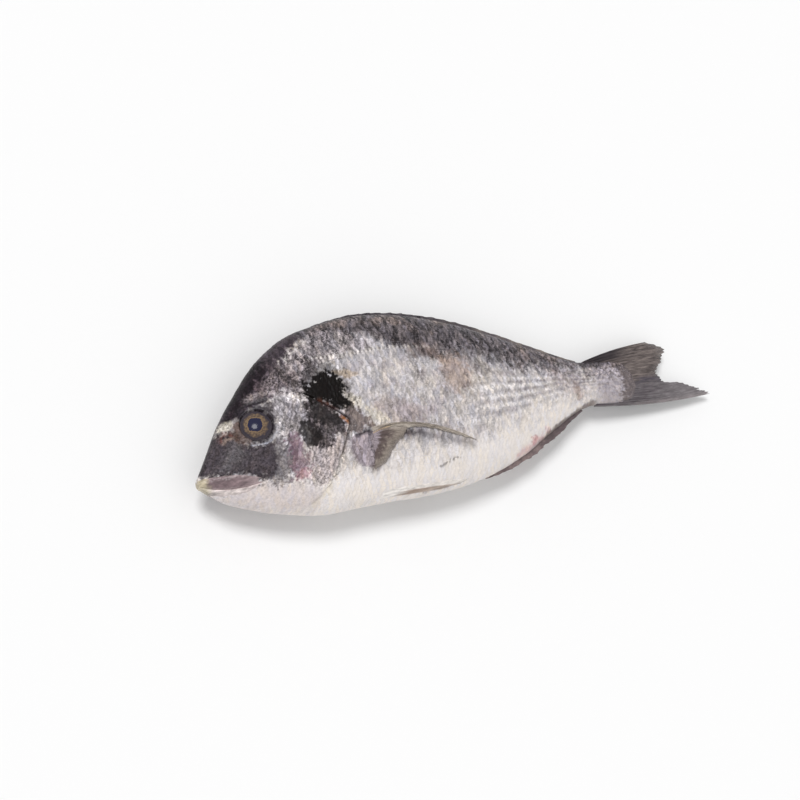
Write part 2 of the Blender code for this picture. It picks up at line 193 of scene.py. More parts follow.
# %% [markdown]
# ## Tools for patterns
#
# Nature is uneven. `soft_noise` gives smooth random hills that are the same each run. A mark on the
# skin, such as a blotch or a crease, is given by its outline or its line, and every point of the
# skin asks how far it is from it. What comes again and again, such as fin rays, is a ripple.

# %% Noise, outlines and lines
def soft_noise(a, b, size, seed):
    """Random heights from -1 to 1 at the corners of a square lattice, blended smoothly between."""
    table = np.random.default_rng(seed).uniform(-1.0, 1.0, (101, 103))
    a, b = (0.83 * a + 0.56 * b) / size, (0.83 * b - 0.56 * a) / size
    i, j = np.floor(a), np.floor(b)
    s, t = fade(a - i), fade(b - j)
    i, j = i.astype(int), j.astype(int)
    near = table[i % 101, j % 103] * (1 - s) + table[(i + 1) % 101, j % 103] * s
    far = table[i % 101, (j + 1) % 103] * (1 - s) + table[(i + 1) % 101, (j + 1) % 103] * s
    return near * (1 - t) + far * t


def rough_noise(a, b, size, seed, octaves=3):
    """Soft noise with finer and weaker soft noise on it, each octave less than half the size."""
    return sum(0.6**i * soft_noise(a, b, size * 0.43**i, seed + i) for i in range(octaves))


def ripple(turns):
    """Half of one plus the cosine of the turns: 1 at each whole turn and 0 half way between."""
    return 0.5 + 0.5 * np.cos(2 * np.pi * turns)


def line_points(points, count=None):
    """A smooth curve through a few points, as many points evenly shared among them."""
    points = np.array(points, float)
    knots = np.arange(len(points))
    places = np.linspace(0, len(points) - 1, count or 6 * len(points))
    return np.stack([smooth_curve(places, knots, points[:, i]) for i in range(points.shape[1])], -1)


def distance_to(x, y, curve):
    """Distance from each place to the nearest stretch of a curve."""
    best = np.full(np.shape(x), np.inf)
    for start, end in zip(curve[:-1], curve[1:]):
        step = end - start
        t = ((x - start[0]) * step[0] + (y - start[1]) * step[1]) / max(step @ step, 1e-9)
        t = np.clip(t, 0.0, 1.0)
        best = np.minimum(best, (x - start[0] - t * step[0]) ** 2 + (y - start[1] - t * step[1]) ** 2)
    return np.sqrt(best)


def near_box(x, y, curve, margin):
    """Which places lie in the curve's box, widened by a margin, so that the rest needs no work."""
    low, high = curve.min(0) - margin, curve.max(0) + margin
    return (x > low[0]) & (x < high[0]) & (y > low[1]) & (y < high[1])


def near_line(x, y, points, width):
    """A bell curve of the distance to a line: 1 on it, about a third one width away."""
    curve = line_points(points)
    close = near_box(x, y, curve, 3 * width)
    mask = np.zeros(np.shape(x))
    mask[close] = np.exp(-((distance_to(x[close], y[close], curve) / width) ** 2))
    return mask


def in_outline(x, y, points, soft, shake=0.0):
    """1 inside a closed outline and 0 outside, over a soft rim that shake, in millimetres, moves.

    A place is inside if a level line from it crosses the outline an odd number of times.
    """
    curve = line_points(tuple(points) + (points[0],))
    shake = np.broadcast_to(shake, np.shape(x))
    close = near_box(x, y, curve, soft + np.abs(shake).max())
    px, py = x[close], y[close]
    inside = np.zeros(px.shape, bool)
    for start, end in zip(curve[:-1], curve[1:]):
        if start[1] != end[1]:
            where = start[0] + (py - start[1]) * (end[0] - start[0]) / (end[1] - start[1])
            inside ^= ((start[1] > py) != (end[1] > py)) & (px < where)
    depth = np.where(inside, 1.0, -1.0) * distance_to(px, py, curve) + shake[close]
    mask = np.zeros(np.shape(x))
    mask[close] = fade(depth / soft + 0.5)
    return mask


three = soft_noise(np.array([0.0, 5.0, 9.0]), np.zeros(3), 3.0, 1)
print("noise at three places:", three.round(2).tolist())

# %% [markdown]
# ## Scales
#
# Fish scales overlap like roof tiles, with every other row half a scale on. Each scale's free edge is
# an arc that points to the tail. If `u` counts scales along the fish and `v` counts rows, the skin
# under each row rises like a saw tooth towards its arcs, and the larger of two neighbouring rows'
# teeth is the one that shows. That single rule gives the whole pattern.

# %% The height of the scales
SCALE_LENGTH = 2.1
SCALE_ROWS = 32.0
SCALE_BULGE = 0.55
SCALE_SHAKE = 0.35
SCALE_RISE = 0.20


def scale_place(x, y, round_share):
    """How many scales from the snout, shaken a little, and how many rows from the back."""
    return x / SCALE_LENGTH + SCALE_SHAKE * soft_noise(x, y, 3.0, 4), round_share * SCALE_ROWS


def scale_height(u, v):
    """The larger of two saw teeth, one for even rows and one for odd rows half a scale on."""
    teeth = []
    for odd in (0.0, 1.0):
        across = (v - odd) - 2 * np.round((v - odd) / 2)
        arc = SCALE_BULGE * (1 - across**2)
        teeth.append(np.mod(u - 0.5 * odd - arc, 1.0))
    return np.maximum(*teeth)


print("scales from gill to tail:", round((BODY_LENGTH - 72.0) / SCALE_LENGTH))

# %% [markdown]
# ## Where things are on the flank
#
# Each place is named in the fish's own millimetres. The same places shape the skin and colour it, so
# that a crease is both a hollow and a dark line.

# %% Places of the head
EYE = (30.0, 4.2)
SOCKET_RADIUS = 7.7
SOCKET_DEPTH = 2.6
SOCKET_RIM = (8.4, 1.3, 0.1)
GILL_CENTRE = (28.7, -3.0)
GILL_RADII = (44.3, 36.0)
# Degrees from tailwards, and the cover's edge there as a share of the oval
GILL_EDGE = np.array([(-66.0, 1.03), (-42.0, 0.96), (-28.0, 0.91), (-18.0, 0.92), (-8.0, 0.95),
                      (0.0, 0.975), (8.0, 0.9), (20.0, 0.8), (30.0, 0.76), (62.0, 0.74)])
CHEEK_CENTRE = (24.0, -5.0)
CHEEK_RADII = (27.0, 27.0)
CHEEK_STEP = 0.55
MOUTH_LINE = ((-0.8, -17.2), (0.5, -17.8), (5.0, -20.0), (11.0, -21.6), (18.0, -22.4), (25.0, -22.2),
              (30.0, -21.5))
LIP_TOP = ((-0.8, -14.4), (2.0, -14.2), (8.0, -15.0), (15.0, -16.2), (22.0, -18.3), (27.0, -20.3),
           (30.2, -21.3))
BROW_CREASE = ((22.0, 10.2), (25.0, 12.8), (30.0, 14.4), (38.0, 14.6))
LOWER_CREASE = ((22.0, -3.0), (27.0, -4.9), (32.0, -4.9), (37.5, -2.4))
NOSTRILS = ((17.6, 2.4), (20.2, 0.7))
NOSTRIL_DEPTH = 0.9
LOBE = ((71.0, -11.5), (75.0, -10.0), (81.0, -9.8), (86.5, -12.0), (87.0, -18.0), (85.0, -22.5),
        (82.0, -26.0), (78.0, -25.8), (72.0, -23.0), (70.3, -17.0))
LATERAL_LINE = ((64.0, 30.0), (80.0, 28.4), (100.0, 28.6), (125.0, 26.0), (150.0, 19.8), (180.0, 9.4),
                (210.0, 3.2), (238.0, 1.0))


def gill_edge(degrees):
    """The gill cover's edge as a share of its oval, by degrees from tailwards."""
    return smooth_curve(np.clip(degrees, GILL_EDGE[0, 0], GILL_EDGE[-1, 0]), *GILL_EDGE.T)


def gill_reach(x, y):
    """Distance from the gill oval's centre, as a share of the cover's edge in that direction."""
    a, b = (x - GILL_CENTRE[0]) / GILL_RADII[0], (y - GILL_CENTRE[1]) / GILL_RADII[1]
    return np.hypot(a, b) / gill_edge(np.degrees(np.arctan2(b, a)))


edge_at_eye = GILL_CENTRE[0] + float(gill_edge(11.5)) * GILL_RADII[0]
print("gill cover's edge at eye level, mm:", round(edge_at_eye, 1))

# %% [markdown]
# ## Relief of the skin
#
# Everything that a finger would feel is real relief: the scales' teeth, the socket and rim of the
# eye, the mouth, the nostrils, the edge of the cheek plate and the slit behind the gill cover. Each
# is a small lift or sink of the skin in millimetres, and they add up.

# %% How much of the skin is scaled, and its relief
def scaled_share(x, y):
    """1 on the trunk and nape, less on the cheek, none on the bare snout, lips and throat."""
    trunk = fade((x - 62.0 - 0.10 * y) / 8.0) * fade((242.0 - 0.04 * y**2 - x) / 4.0)
    nape = fade((y - 16.0 - 0.35 * (60.0 - x)) / 8.0) * fade((x - 30.0) / 10.0)
    cheek = 0.8 * fade(1.6 - np.hypot((x - 48.0) / 14.0, y / 16.0))
    cover = 0.6 * fade(1.6 - np.hypot((x - 61.0) / 10.0, (y + 6.0) / 18.0))
    return np.maximum.reduce([trunk, nape, cheek, cover])


def plain_relief(x, y, share):
    """The relief that runs under everything: scales, soft waves, and the cheek plate's step."""
    lift = SCALE_RISE * (scale_height(*scale_place(x, y, share)) - 0.5) * scaled_share(x, y)
    lift = lift + 0.16 * soft_noise(x, y, 9.0, 5) + 0.08 * rough_noise(x, y, 3.1, 6, 2)
    cheek = np.hypot((x - CHEEK_CENTRE[0]) / CHEEK_RADII[0], (y - CHEEK_CENTRE[1]) / CHEEK_RADII[1])
    return lift + CHEEK_STEP * fade((1.0 - cheek) / 0.035) * fade((x - 36.0) / 8.0)


def skin_relief(x, y, share):
    """The lift of the skin in millimetres, as a sum of named features."""
    lift = plain_relief(x, y, share)
    to_eye = np.hypot(x - EYE[0], y - EYE[1])
    radius, width, rise = SOCKET_RIM
    lift = lift + rise * np.exp(-(((to_eye - radius) / width) ** 2))
    lift = lift - SOCKET_DEPTH * fade((SOCKET_RADIUS - to_eye) / 1.2)
    lift = lift - 0.3 * near_line(x, y, BROW_CREASE, 1.0) - 0.45 * near_line(x, y, LOWER_CREASE, 0.6)
    lift = lift + 0.5 * near_line(x, y + 1.6, LOWER_CREASE, 1.0)
    lift = lift - 0.4 * near_line(x, y, MOUTH_LINE, 0.5) - 0.3 * near_line(x, y, LIP_TOP, 0.4)
    for place in NOSTRILS:
        lift = lift - NOSTRIL_DEPTH * np.exp(-((x - place[0]) ** 2 + (y - place[1]) ** 2) / 0.8)
    gill = gill_reach(x, y)
    slit = np.exp(-(((gill - 1.015) / 0.022) ** 2)) * fade((x - 40.0) / 8.0) * fade((20.0 - y) / 8.0)
    lift = lift - (0.3 + 0.6 * fade((y + 24.0) / 10.0)) * slit
    lift = lift + 0.7 * in_outline(x, y, LOBE, 2.4)
    lift = lift + 0.35 * near_line(x, y, LATERAL_LINE, 0.8) * ripple(x / SCALE_LENGTH)
    return lift * fade((x + SNOUT_CAP) / 2.0)


grid_x, grid_y = np.meshgrid(np.linspace(0, 240, 200), np.linspace(-40, 48, 90), indexing="ij")
lift = skin_relief(grid_x, grid_y, share_at(grid_x, grid_y))
print("deepest and highest relief, mm:", lift.min().round(2), lift.max().round(2))

# %% [markdown]
# ## Paint
#
# The skin is painted as a painter would do it: a silver ground, then the dark back and the white
# belly, then each mark on top. A mark has the name of its colour, a strength, how soft its rim is,
# how ragged it is, and its outline or its line. The mesh carries the finished paint, and the
# material adds what is finer than that.

# %% Colours and marks
def linear(colour):
    """A picture's 0 to 255 values as linear light: each share to the power 2.2, near enough."""
    return (np.array(colour, float) / 255.0) ** 2.2


COLOURS = {name: linear(colour) for name, colour in {
    "silver": (190, 186, 187), "cool": (170, 167, 172), "warm": (202, 194, 186), "back": (90, 85, 88),
    "belly": (234, 228, 223), "ridge": (54, 49, 54), "shoulder": (112, 104, 106), "pale": (140, 133, 136),
    "slate": (73, 67, 71), "smoke": (76, 69, 71), "cheek": (120, 115, 118), "dark": (36, 30, 35),
    "dusk": (46, 41, 46), "black": (21, 17, 16), "mauve": (150, 139, 145), "umber": (96, 82, 77),
    "brown": (148, 130, 120), "tan": (180, 158, 130), "pink": (122, 97, 109), "rose": (200, 146, 145),
    "rust": (104, 62, 46), "orange": (176, 118, 62), "cream": (202, 195, 181), "lilac": (164, 156, 161),
    "line": (76, 70, 68), "fin": (104, 96, 96), "gill": (164, 153, 152), "ice": (176, 178, 188),
    "throat": (206, 197, 195), "haze": (84, 74, 79),
}.items()}
# Colour, strength, then in millimetres the soft rim's width, its raggedness and the outline
MARKS = (
    ("throat", 0.9, 7.0, 1.5, ((0, -17), (12, -22), (27, -21), (40, -25), (52, -31), (52, -38),
        (40, -38), (22, -33), (8, -26))),
    ("pale", 0.75, 8.0, 2.0, ((58, 31), (70, 29), (85, 28.5), (94, 32), (88, 40), (74, 42), (64, 38))),
    ("haze", 1.0, 4.0, 2.4, ((13, 6), (22, 8.5), (28, 11), (34, 13), (40, 14.5), (46, 17), (52, 21),
        (54, 25), (50, 31), (60, 38), (62, 46), (36, 34), (20, 20))),
    ("shoulder", 0.85, 5.0, 2.4, ((38, 18), (45, 16.5), (54, 13), (58, 17), (66, 24), (68, 30),
        (58, 34), (48, 30), (40, 24))),
    ("cheek", 0.8, 4.0, 1.5, ((39, 12), (44, 14), (53, 10), (55, 2), (49, -3), (47, -10), (42, -14),
        (38, -9), (39.5, 0))),
    ("gill", 0.8, 4.0, 1.5, ((52, -10), (62, -9), (70, -8), (67, -17), (62, -25), (55, -29), (49, -26),
        (49, -14))),
    ("brown", 0.45, 5.0, 2.0, ((84, 0), (92, 5), (100, 3), (108, -2), (110, -8), (104, -10), (94, -8))),
    ("brown", 0.72, 7.0, 3.0, ((129, 18), (136, 21), (142, 17), (144, 8), (141, 2), (134, 1), (129, 6))),
    ("umber", 0.5, 4.0, 1.6, ((115, 29), (125, 28), (128, 22), (120, 20), (113, 24))),
    ("smoke", 0.35, 3.0, 1.5, ((113, 22), (116, 20), (119, 8), (116, 6), (112, 14))),
    ("cream", 0.7, 3.0, 1.6, ((73, 11), (79, 8), (85, 1), (92, -6.5), (88, -8), (83, -4), (79, 1),
        (75, 5))),
    ("umber", 0.8, 2.6, 3.4, ((71, 6), (75, 5), (80, 0), (84, -4.5), (82, -8.5), (76, -9), (71, -5))),
    ("tan", 0.6, 1.5, 0.8, ((70, 21.5), (74, 21.8), (81, 20), (84, 17.5), (78, 16.5), (75, 18.5))),
    ("ridge", 0.75, 6.0, 4.5, ((36, 24), (44, 29), (52, 33), (60, 38), (66, 42), (62, 48), (48, 44),
        (36, 36))),
    ("dark", 1.0, 4.5, 2.6, ((13, 6.5), (18, 10), (25, 12.5), (29, 15), (33, 19), (38, 24), (43, 30),
        (44, 36), (42, 40), (36, 36), (24, 24), (12, 9))),
    ("slate", 1.0, 3.0, 1.8, ((-1, -12), (3, -5), (9, 2), (13, 4.6), (18, 4.6), (21.5, 3), (23, -2),
        (28, -4.5), (33.5, -5), (35, -12), (33, -20), (27, -20.5), (22, -17.8), (15, -16), (8, -15),
        (2, -13.6))),
    ("slate", 0.95, 1.8, 1.6, ((32, 11), (35.5, 12.6), (39.6, 12.8), (39.2, 8.5), (38.2, 3), (35.5, -1),
        (34.5, 1), (36, 5), (35, 8.6))),
    ("line", 1.0, 1.8, 1.2, ((19.6, 5.0), (21.5, 7.2), (24.0, 7.6), (24.0, 1), (26.0, -3.0),
        (21.2, -3.2), (19.4, 0))),
    ("rust", 0.5, 1.8, 1.2, ((19.6, 4.0), (23.4, 7.0), (23.4, 1), (24.6, -2.4), (21.2, -2.8), (19.8, 0))),
    ("slate", 0.7, 5.0, 4.0, ((26, -6), (37, -4), (42, -9), (43, -17), (39, -24), (31, -24), (25, -20))),
    ("dark", 0.5, 3.0, 1.5, ((-1, -12), (2, -11), (7, -3), (12, 2), (17, 4), (12, 7), (5, 1))),
    ("pink", 0.7, 3.4, 2.4, ((41, -6), (45.5, -4), (48, -9), (48.5, -16), (48, -22), (44, -25),
        (41, -22), (41.5, -14))),
    ("smoke", 0.5, 4.0, 3.4, ((44, 18), (50, 17), (56, 19), (59, 24), (51, 24.5), (44, 21))),
    ("rose", 0.3, 2.5, 1.0, ((42, -21), (47, -20), (50, -23), (46, -25.5), (42, -24))),
    ("smoke", 0.95, 2.6, 2.0, ((54, 10), (60, 11), (65, 6), (69, 1), (71, -3.5), (69.5, -8), (64, -9),
        (60, -14), (55, -13), (52, -10), (52, -2), (53, 5))),
    ("black", 0.75, 2.6, 2.6, ((55, 8), (60, 8), (65, 4), (69.5, -1.5), (69, -5.5), (64, -4), (60, -3),
        (56, 2))),
    ("black", 0.85, 1.8, 1.6, ((47.5, -0.5), (51, 0.5), (56, -1), (58.5, -7), (55, -11), (50.5, -12),
        (48.5, -7))),
    ("black", 0.5, 2.0, 4.0, ((52, 20), (60, 23), (66, 28), (73, 26), (77, 20), (78, 10), (77, 4),
        (72, 3), (70, 18), (60, 17))),
    ("black", 1.0, 1.9, 2.4, ((54.5, 18.5), (58, 19), (60.5, 17.5), (63, 20.5), (67, 22.5), (72, 21),
        (75, 15), (74.5, 9), (73.5, 4.5), (70.5, 2.5), (67, 4.5), (63, 8), (59, 8.5), (56, 11))),
    ("black", 0.85, 1.4, 0.9, ((60, 12), (66, 9), (72, 7), (75.5, 6), (73.5, 3), (70.5, 2), (66.5, 5),
        (62, 9))),
    ("mauve", 0.9, 2.0, 0.8, LOBE),
    # The brown of the breast fin's folded lower rays, darkened further with painted shade under the blade
    ("umber", 0.6, 2.4, 0.8, ((84, -11.5), (90, -11.8), (100, -12.6), (103, -14), (96, -17), (91, -21),
        (86.5, -25), (83, -28), (79, -28), (79, -25.8), (84, -23), (86.5, -18))),
    ("smoke", 0.3, 3.0, 0.5, ((80, -11), (86.5, -12.4), (87, -18), (84, -23), (80, -26), (79, -20))),
    ("cream", 0.95, 1.6, 0.8, ((14, 5.6), (16.0, 8.6), (18.5, 9.6), (21.6, 9.0), (20.4, 6.6), (17, 5.2))),
    ("rose", 0.6, 1.6, 1.6, ((172.5, -25.2), (175, -24.8), (176, -27.4), (173.5, -28))),
    ("rose", 0.35, 1.6, 1.6, ((182, -20.5), (185, -20), (186, -22.4), (183, -23))),
    ("belly", 0.18, 6.0, 4.0, ((146, 7), (157, 6), (168, 1), (164, -7), (150, -8), (144, -2))),
    ("mauve", 0.45, 5.0, 3.0, ((97, -1), (106, 0), (117, -3), (119, -8), (112, -10), (100, -8))),
    ("mauve", 0.4, 9.0, 3.0, ((188, 9), (205, 7), (214, 5), (214, -5), (205, -8), (192, 0))),
    ("brown", 0.6, 2.0, 1.0, ((205.5, 0), (208.5, 0), (209.5, -7), (206.5, -9), (205, -5))),
)
# Colour, strength, then in millimetres the width and the points of the line
LINES = (
    ("gill", 0.6, 1.1, ((30, 17.2), (36, 18.0), (41, 17.4), (46, 15.6))),
    ("ice", 0.6, 0.6, ((25, -4.6), (29, -5.0), (34, -4.2), (37.6, -1.6))),
    ("dark", 1.0, 1.9, ((17.6, 10.4), (21, 10.6), (24.5, 11.4))),
    ("dusk", 1.0, 1.3, ((24, 11.4), (27, 13.2), (31, 14.2), (35, 14.9), (38, 14.8))),
    ("dusk", 0.5, 0.8, ((1.0, -12.9), (8, -14.0), (15, -15.0), (23, -17.0), (27.5, -19.4))),
    ("umber", 0.8, 1.9, ((21.4, 6.5), (20.8, 1.5), (23.0, -2.6))),
    ("rust", 0.5, 1.0, ((13.5, 1.0), (15.5, 3.6), (18.5, 2.2))),
    ("brown", 0.6, 0.8, ((14.0, -0.6), (16.5, 0.6), (18.6, 0.4))),
    ("cream", 0.5, 1.2, ((65.5, -18.0), (60.5, -27.0), (55.0, -33.0), (48.0, -38.0))),
    ("umber", 0.7, 0.6, ((71.4, -5.0), (69.8, -10.0), (66.5, -17.0))),
    ("rust", 0.6, 0.9, ((61.5, 8.6), (66.0, 4.5), (69.5, 0.0), (71.8, -3.4))),
    ("orange", 0.28, 0.8, ((69.6, -0.8), (71.9, -3.4), (71.4, -6.5))),
    # Painted shadow: a dark line between the fleshy lobe and the breast fin's root
    ("dusk", 0.95, 1.3, ((74.5, -10.8), (77.5, -10.2), (81.0, -9.6))),
    # Painted shadow on the flank under the breast fin's blade, near its root
    ("dusk", 0.7, 1.5, ((86.0, -11.0), (96.0, -12.4), (108.0, -15.2))),
    # Painted shade that the breast fin's blade casts on the flank, further back
    ("smoke", 0.5, 2.4, ((100.0, -15.0), (113.0, -17.4), (126.0, -21.0), (135.0, -24.4))),
    ("rose", 0.5, 1.5, ((163.0, -32.6), (171.0, -29.0), (180.0, -24.6))),
    ("brown", 0.6, 0.8, ((92.0, -39.4), (104.0, -40.6), (120.0, -41.0))),
)
SPECK_ROW = ((114.0, -32.4), (117.5, -31.6), (121.0, -30.4), (127.0, -29.2))
BACK_EDGE = ((0, 0.0), (20, 22.0), (40, 31.0), (58, 38.0), (75, 37.0), (88, 35.5), (98, 31.5),
             (106, 28.0), (112, 25.5), (120, 21.5), (132, 18.5), (150, 15.0), (170, 10.5), (190, 7.5),
             (212, 5.5), (247, 6.0))
BELLY_EDGE = ((0, -18.5), (14, -22.8), (27, -21.6), (38, -25.0), (50, -30.0), (66, -26.0), (95, -24.0),
              (120, -23.5), (142, -20.5), (168, -14.5), (188, -9.5), (206, -6.2), (224, -6.0),
              (247, -9.0))
STRIPES = 14.0
EYE_RING = (7.6, 1.7)
GRAINS = {"shoulder": 0.9, "pale": 0.8, "cheek": 0.62, "gill": 0.5, "slate": 0.4, "smoke": 0.8,
          "haze": 0.5, "dark": 0.5, "throat": 0.08}
OTHER_GRAIN = 0.35
BARE_MARKS = ("black", "dark", "slate", "smoke", "mauve", "umber")
print("marks:", len(MARKS) + len(LINES))

# %% [markdown]
# Grain says how strongly the tone changes from scale to scale: much on the back, little on the belly.
# Silver says where the skin mirrors the light like metal. The ground comes first: the flank and its
# stripes, the back, the belly and the root of the tail.

# %% Painting the ground
def edge_at(x, points):
    """The height of an edge curve at x."""
    points = np.array(points, float)
    return smooth_curve(x, points[:, 0], points[:, 1])


def blend(paint, share, colour):
    """Paint times one less the share, plus the share times a colour or the colour of that name."""
    share = np.clip(share, 0.0, 1.0)[..., None]
    colour = COLOURS[colour] if isinstance(colour, str) else colour
    return paint * (1 - share) + colour * share


def paint_ground(x, y, share, wide, rough):
    """The flank under the back and the belly, with the masks of these two.

    A mask is the fade of the height past its edge curve over the width of its soft rim, and noise
    shakes it. The stripes are a wave of the way round, and they show on the rear flank.
    """
    flank = np.broadcast_to(COLOURS["silver"], x.shape + (3,))
    flank = blend(flank, 0.55 * fade(wide + 0.4), "warm")
    flank = blend(flank, 0.55 * fade(rough_noise(x, y, 7.0, 19) * 1.4 + 0.2), "cool")
    flank = blend(flank, 0.30 * fade(rough_noise(x, y, 5.0, 23) * 1.6 - 0.2), "mauve")
    back_rim = 10.0 + 5.0 * fade((x - 125.0) / 25.0)
    back = fade((y - edge_at(x, BACK_EDGE) + 3.0 * wide + 2.4 * rough) / back_rim + 0.5)
    belly_rim = 10.0 + 10.0 * fade((x - 60.0) / 30.0)
    belly = fade((edge_at(x, BELLY_EDGE) - y + 2.0 * wide + 2.6 * rough) / belly_rim + 0.5)
    rows = 0.5 + 0.5 * np.cos(2 * np.pi * STRIPES * (share - 0.5) + 1.2 * soft_noise(x, y, 9.0, 27))
    rear = fade((x - 130.0) / 24.0) * fade((232.0 - x) / 18.0) * (1 - belly)
    stripe = rows**2.5 * rear * fade((14.0 - y + 0.07 * (x - 150.0)) / 10.0) * (0.75 + 0.5 * rough)
    bright = (1 - rows) ** 2 * rear * fade((8.0 - y) / 6.0)
    flank = blend(flank, 0.5 * bright, "belly")
    flank = blend(flank, 0.32 * stripe, "umber")
    paint = blend(flank, back, "back")
    paint = blend(paint, 0.25 * back * fade(wide * 1.5), "brown")
    ridge = 0.85 * fade(1.0 - share / 0.09) * fade((x - 5.0) / 10.0)
    paint = blend(paint, ridge * (1 - 0.5 * fade((x - 90.0) / 60.0)), "ridge")
    return blend(paint, belly, "belly"), back, belly


def paint_rear(paint, x, y, rough):
    """Adds the lilac root of the tail, its dark upper side and the brown fringe over the anal fin."""
    paint = blend(paint, 0.8 * fade((x - 214.0) / 12.0), "lilac")
    paint = blend(paint, 0.7 * fade((x - 208.0) / 14.0) * fade((y - 6.5) / 3.5), "ridge")
    under = edge_at(x, SECTIONS[:, [0, 2]])
    fringe = fade((under + 2.6 - y + 0.8 * rough) / 1.6)
    fringe = fringe * fade((x - 164.0) / 22.0) * fade((221.0 - x) / 5.0)
    return blend(paint, 0.8 * fringe, "umber")


print("the dark back begins over the gill at, mm:", round(float(edge_at(70.0, BACK_EDGE)), 1))

# %% [markdown]
# The marks and the lines go over the ground. A mark also brings its own grain and dulls the silver,
# since bare skin doesn't mirror. Noise shakes the places of the lines, so none is straight.

# %% Marks, the ring round the eye, and lines
def lay_marks(paint, grain, silver, x, y, crisp):
    """Lays each mark by its strength times its outline's mask, which crisp noise makes ragged."""
    for name, strength, soft, ragged, outline in MARKS:
        mask = strength * in_outline(x, y, outline, soft, ragged * crisp)
        paint = blend(paint, mask, name)
        grain = grain * (1 - mask) + GRAINS.get(name, OTHER_GRAIN) * mask
        silver = silver * (1 - (0.9 if name in BARE_MARKS else 0.3) * mask)
    return paint, grain, silver


def ring_eye(paint, silver, x, y, crisp):
    """A bell curve of the distance to the ring round the eye: dark, and brown ahead of the eye."""
    to_eye = np.hypot(x - EYE[0], y - EYE[1])
    ring = np.exp(-(((to_eye - EYE_RING[0]) / EYE_RING[1]) ** 2)) * (0.95 + 0.2 * crisp)
    ahead = fade((EYE[0] - 3.0 - x) / 4.0) * fade((EYE[1] + 5.0 - y) / 3.0)
    paint = blend(paint, ring * (1 - ahead), "dusk")
    return blend(paint, ring * ahead, "umber"), silver * (1 - ring)


def lay_lines(paint, silver, x, y, rough):
    """Lays each line by its strength times its bell curve, then the lateral line and the specks."""
    shaken_x, shaken_y = x + 0.7 * rough, y + 0.7 * rough_noise(x, y, 2.2, 33)
    for name, strength, width, points in LINES:
        mask = strength * near_line(shaken_x, shaken_y, points, width)
        paint = blend(paint, mask, name)
        silver = silver * (1 - mask)
    dashes = ripple(x / SCALE_LENGTH)
    lateral = near_line(x, y, LATERAL_LINE, 0.9) * fade((140.0 - x) / 50.0)
    paint = blend(paint, 0.7 * lateral * dashes, "belly")
    paint = blend(paint, 0.6 * lateral * (1 - dashes), "line")
    specks = near_line(x, y, SPECK_ROW, 0.8) * fade((soft_noise(x, y, 1.2, 31) + 0.1) * 4)
    return blend(paint, 0.65 * specks, "line"), silver


print("marks on bare skin:", sum(mark[0] in BARE_MARKS for mark in MARKS))

# %% [markdown]
# At the end come the fin's colour at the tail, painted shade in the slit behind the gill cover, and
# slanting streaks: noise that a hyperbolic tangent pushes towards its two ends, as strong as the grain.

# %% The whole paint
def paint_skin(x, y, share):
    """The skin's paint, its grain and its silver: ground, rear, marks, ring and lines in this order.

    At last the paint is multiplied by one plus 0.6 times the grain times the streaks.
    """
    wide = rough_noise(x, y, 11.0, 11)
    rough = rough_noise(x, y, 2.6, 15)
    crisp = 0.5 * rough + 0.7 * rough_noise(x, y, 1.1, 17, 2)
    paint, back, belly = paint_ground(x, y, share, wide, rough)
    paint = paint_rear(paint, x, y, rough)
    grain = 0.30 + 0.46 * back - 0.24 * belly
    silver = scaled_share(x, y) * (1 - 0.55 * back)
    paint, grain, silver = lay_marks(paint, grain, silver, x, y, crisp)
    paint, silver = ring_eye(paint, silver, x, y, crisp)
    paint, silver = lay_lines(paint, silver, x, y, rough)
    tail = fade((x - 237.0 + 0.04 * y**2 + 3.4 * rough_noise(x / 4, y, 1.3, 35)) / 4.0)
    paint = blend(paint, 0.9 * tail, "fin")
    # Painted shade in the slit behind the gill cover's edge, stronger in its upper part
    slit = np.exp(-(((gill_reach(x, y) - 1.02) / 0.025) ** 2))
    slit = slit * fade((y + 22.0) / 10.0) * fade((12.0 - y) / 6.0)
    paint = blend(paint, (0.4 + 0.5 * fade((y + 8.0) / 6.0)) * slit, "dusk")
    streaks = rough_noise((0.5 * x + 0.87 * y) / 2.0, 0.5 * y - 0.87 * x, 0.85, 37, 2)
    streaks = 0.95 * np.tanh(2.6 * streaks) + 0.25 * rough_noise(x, y, 3.0, 39)
    paint = paint * np.maximum(1 + 0.6 * grain * streaks, 0.15)[..., None]
    return np.minimum(paint, 0.95), np.clip(grain, 0.03, 1.0), np.clip(silver * (1 - tail), 0.0, 1.0)


flank_paint = paint_skin(np.array([100.0]), np.array([10.0]), np.array([0.4]))[0]
print("flank's paint, 0 to 255:", (255 * flank_paint[0] ** (1 / 2.2)).round().tolist())

# %% [markdown]
# ## From grids to meshes
#
# A surface is a grid of points. Its quads, paint and smooth shading go into the mesh as whole
# arrays, which is quick even for a hundred thousand points. Points that fall together, as at the
# tip of the snout, are merged, so the surface has no holes.

# %% Mesh helpers
def grid_quads(rows, columns, flip=False):
    """Four corner numbers for each square of a grid, in the order that decides which side is out."""
    number = np.arange(rows * columns).reshape(rows, columns)
    corners = [number[:-1, :-1], number[1:, :-1], number[1:, 1:], number[:-1, 1:]]
    return np.stack(corners[::-1] if flip else corners, -1).reshape(-1, 4)


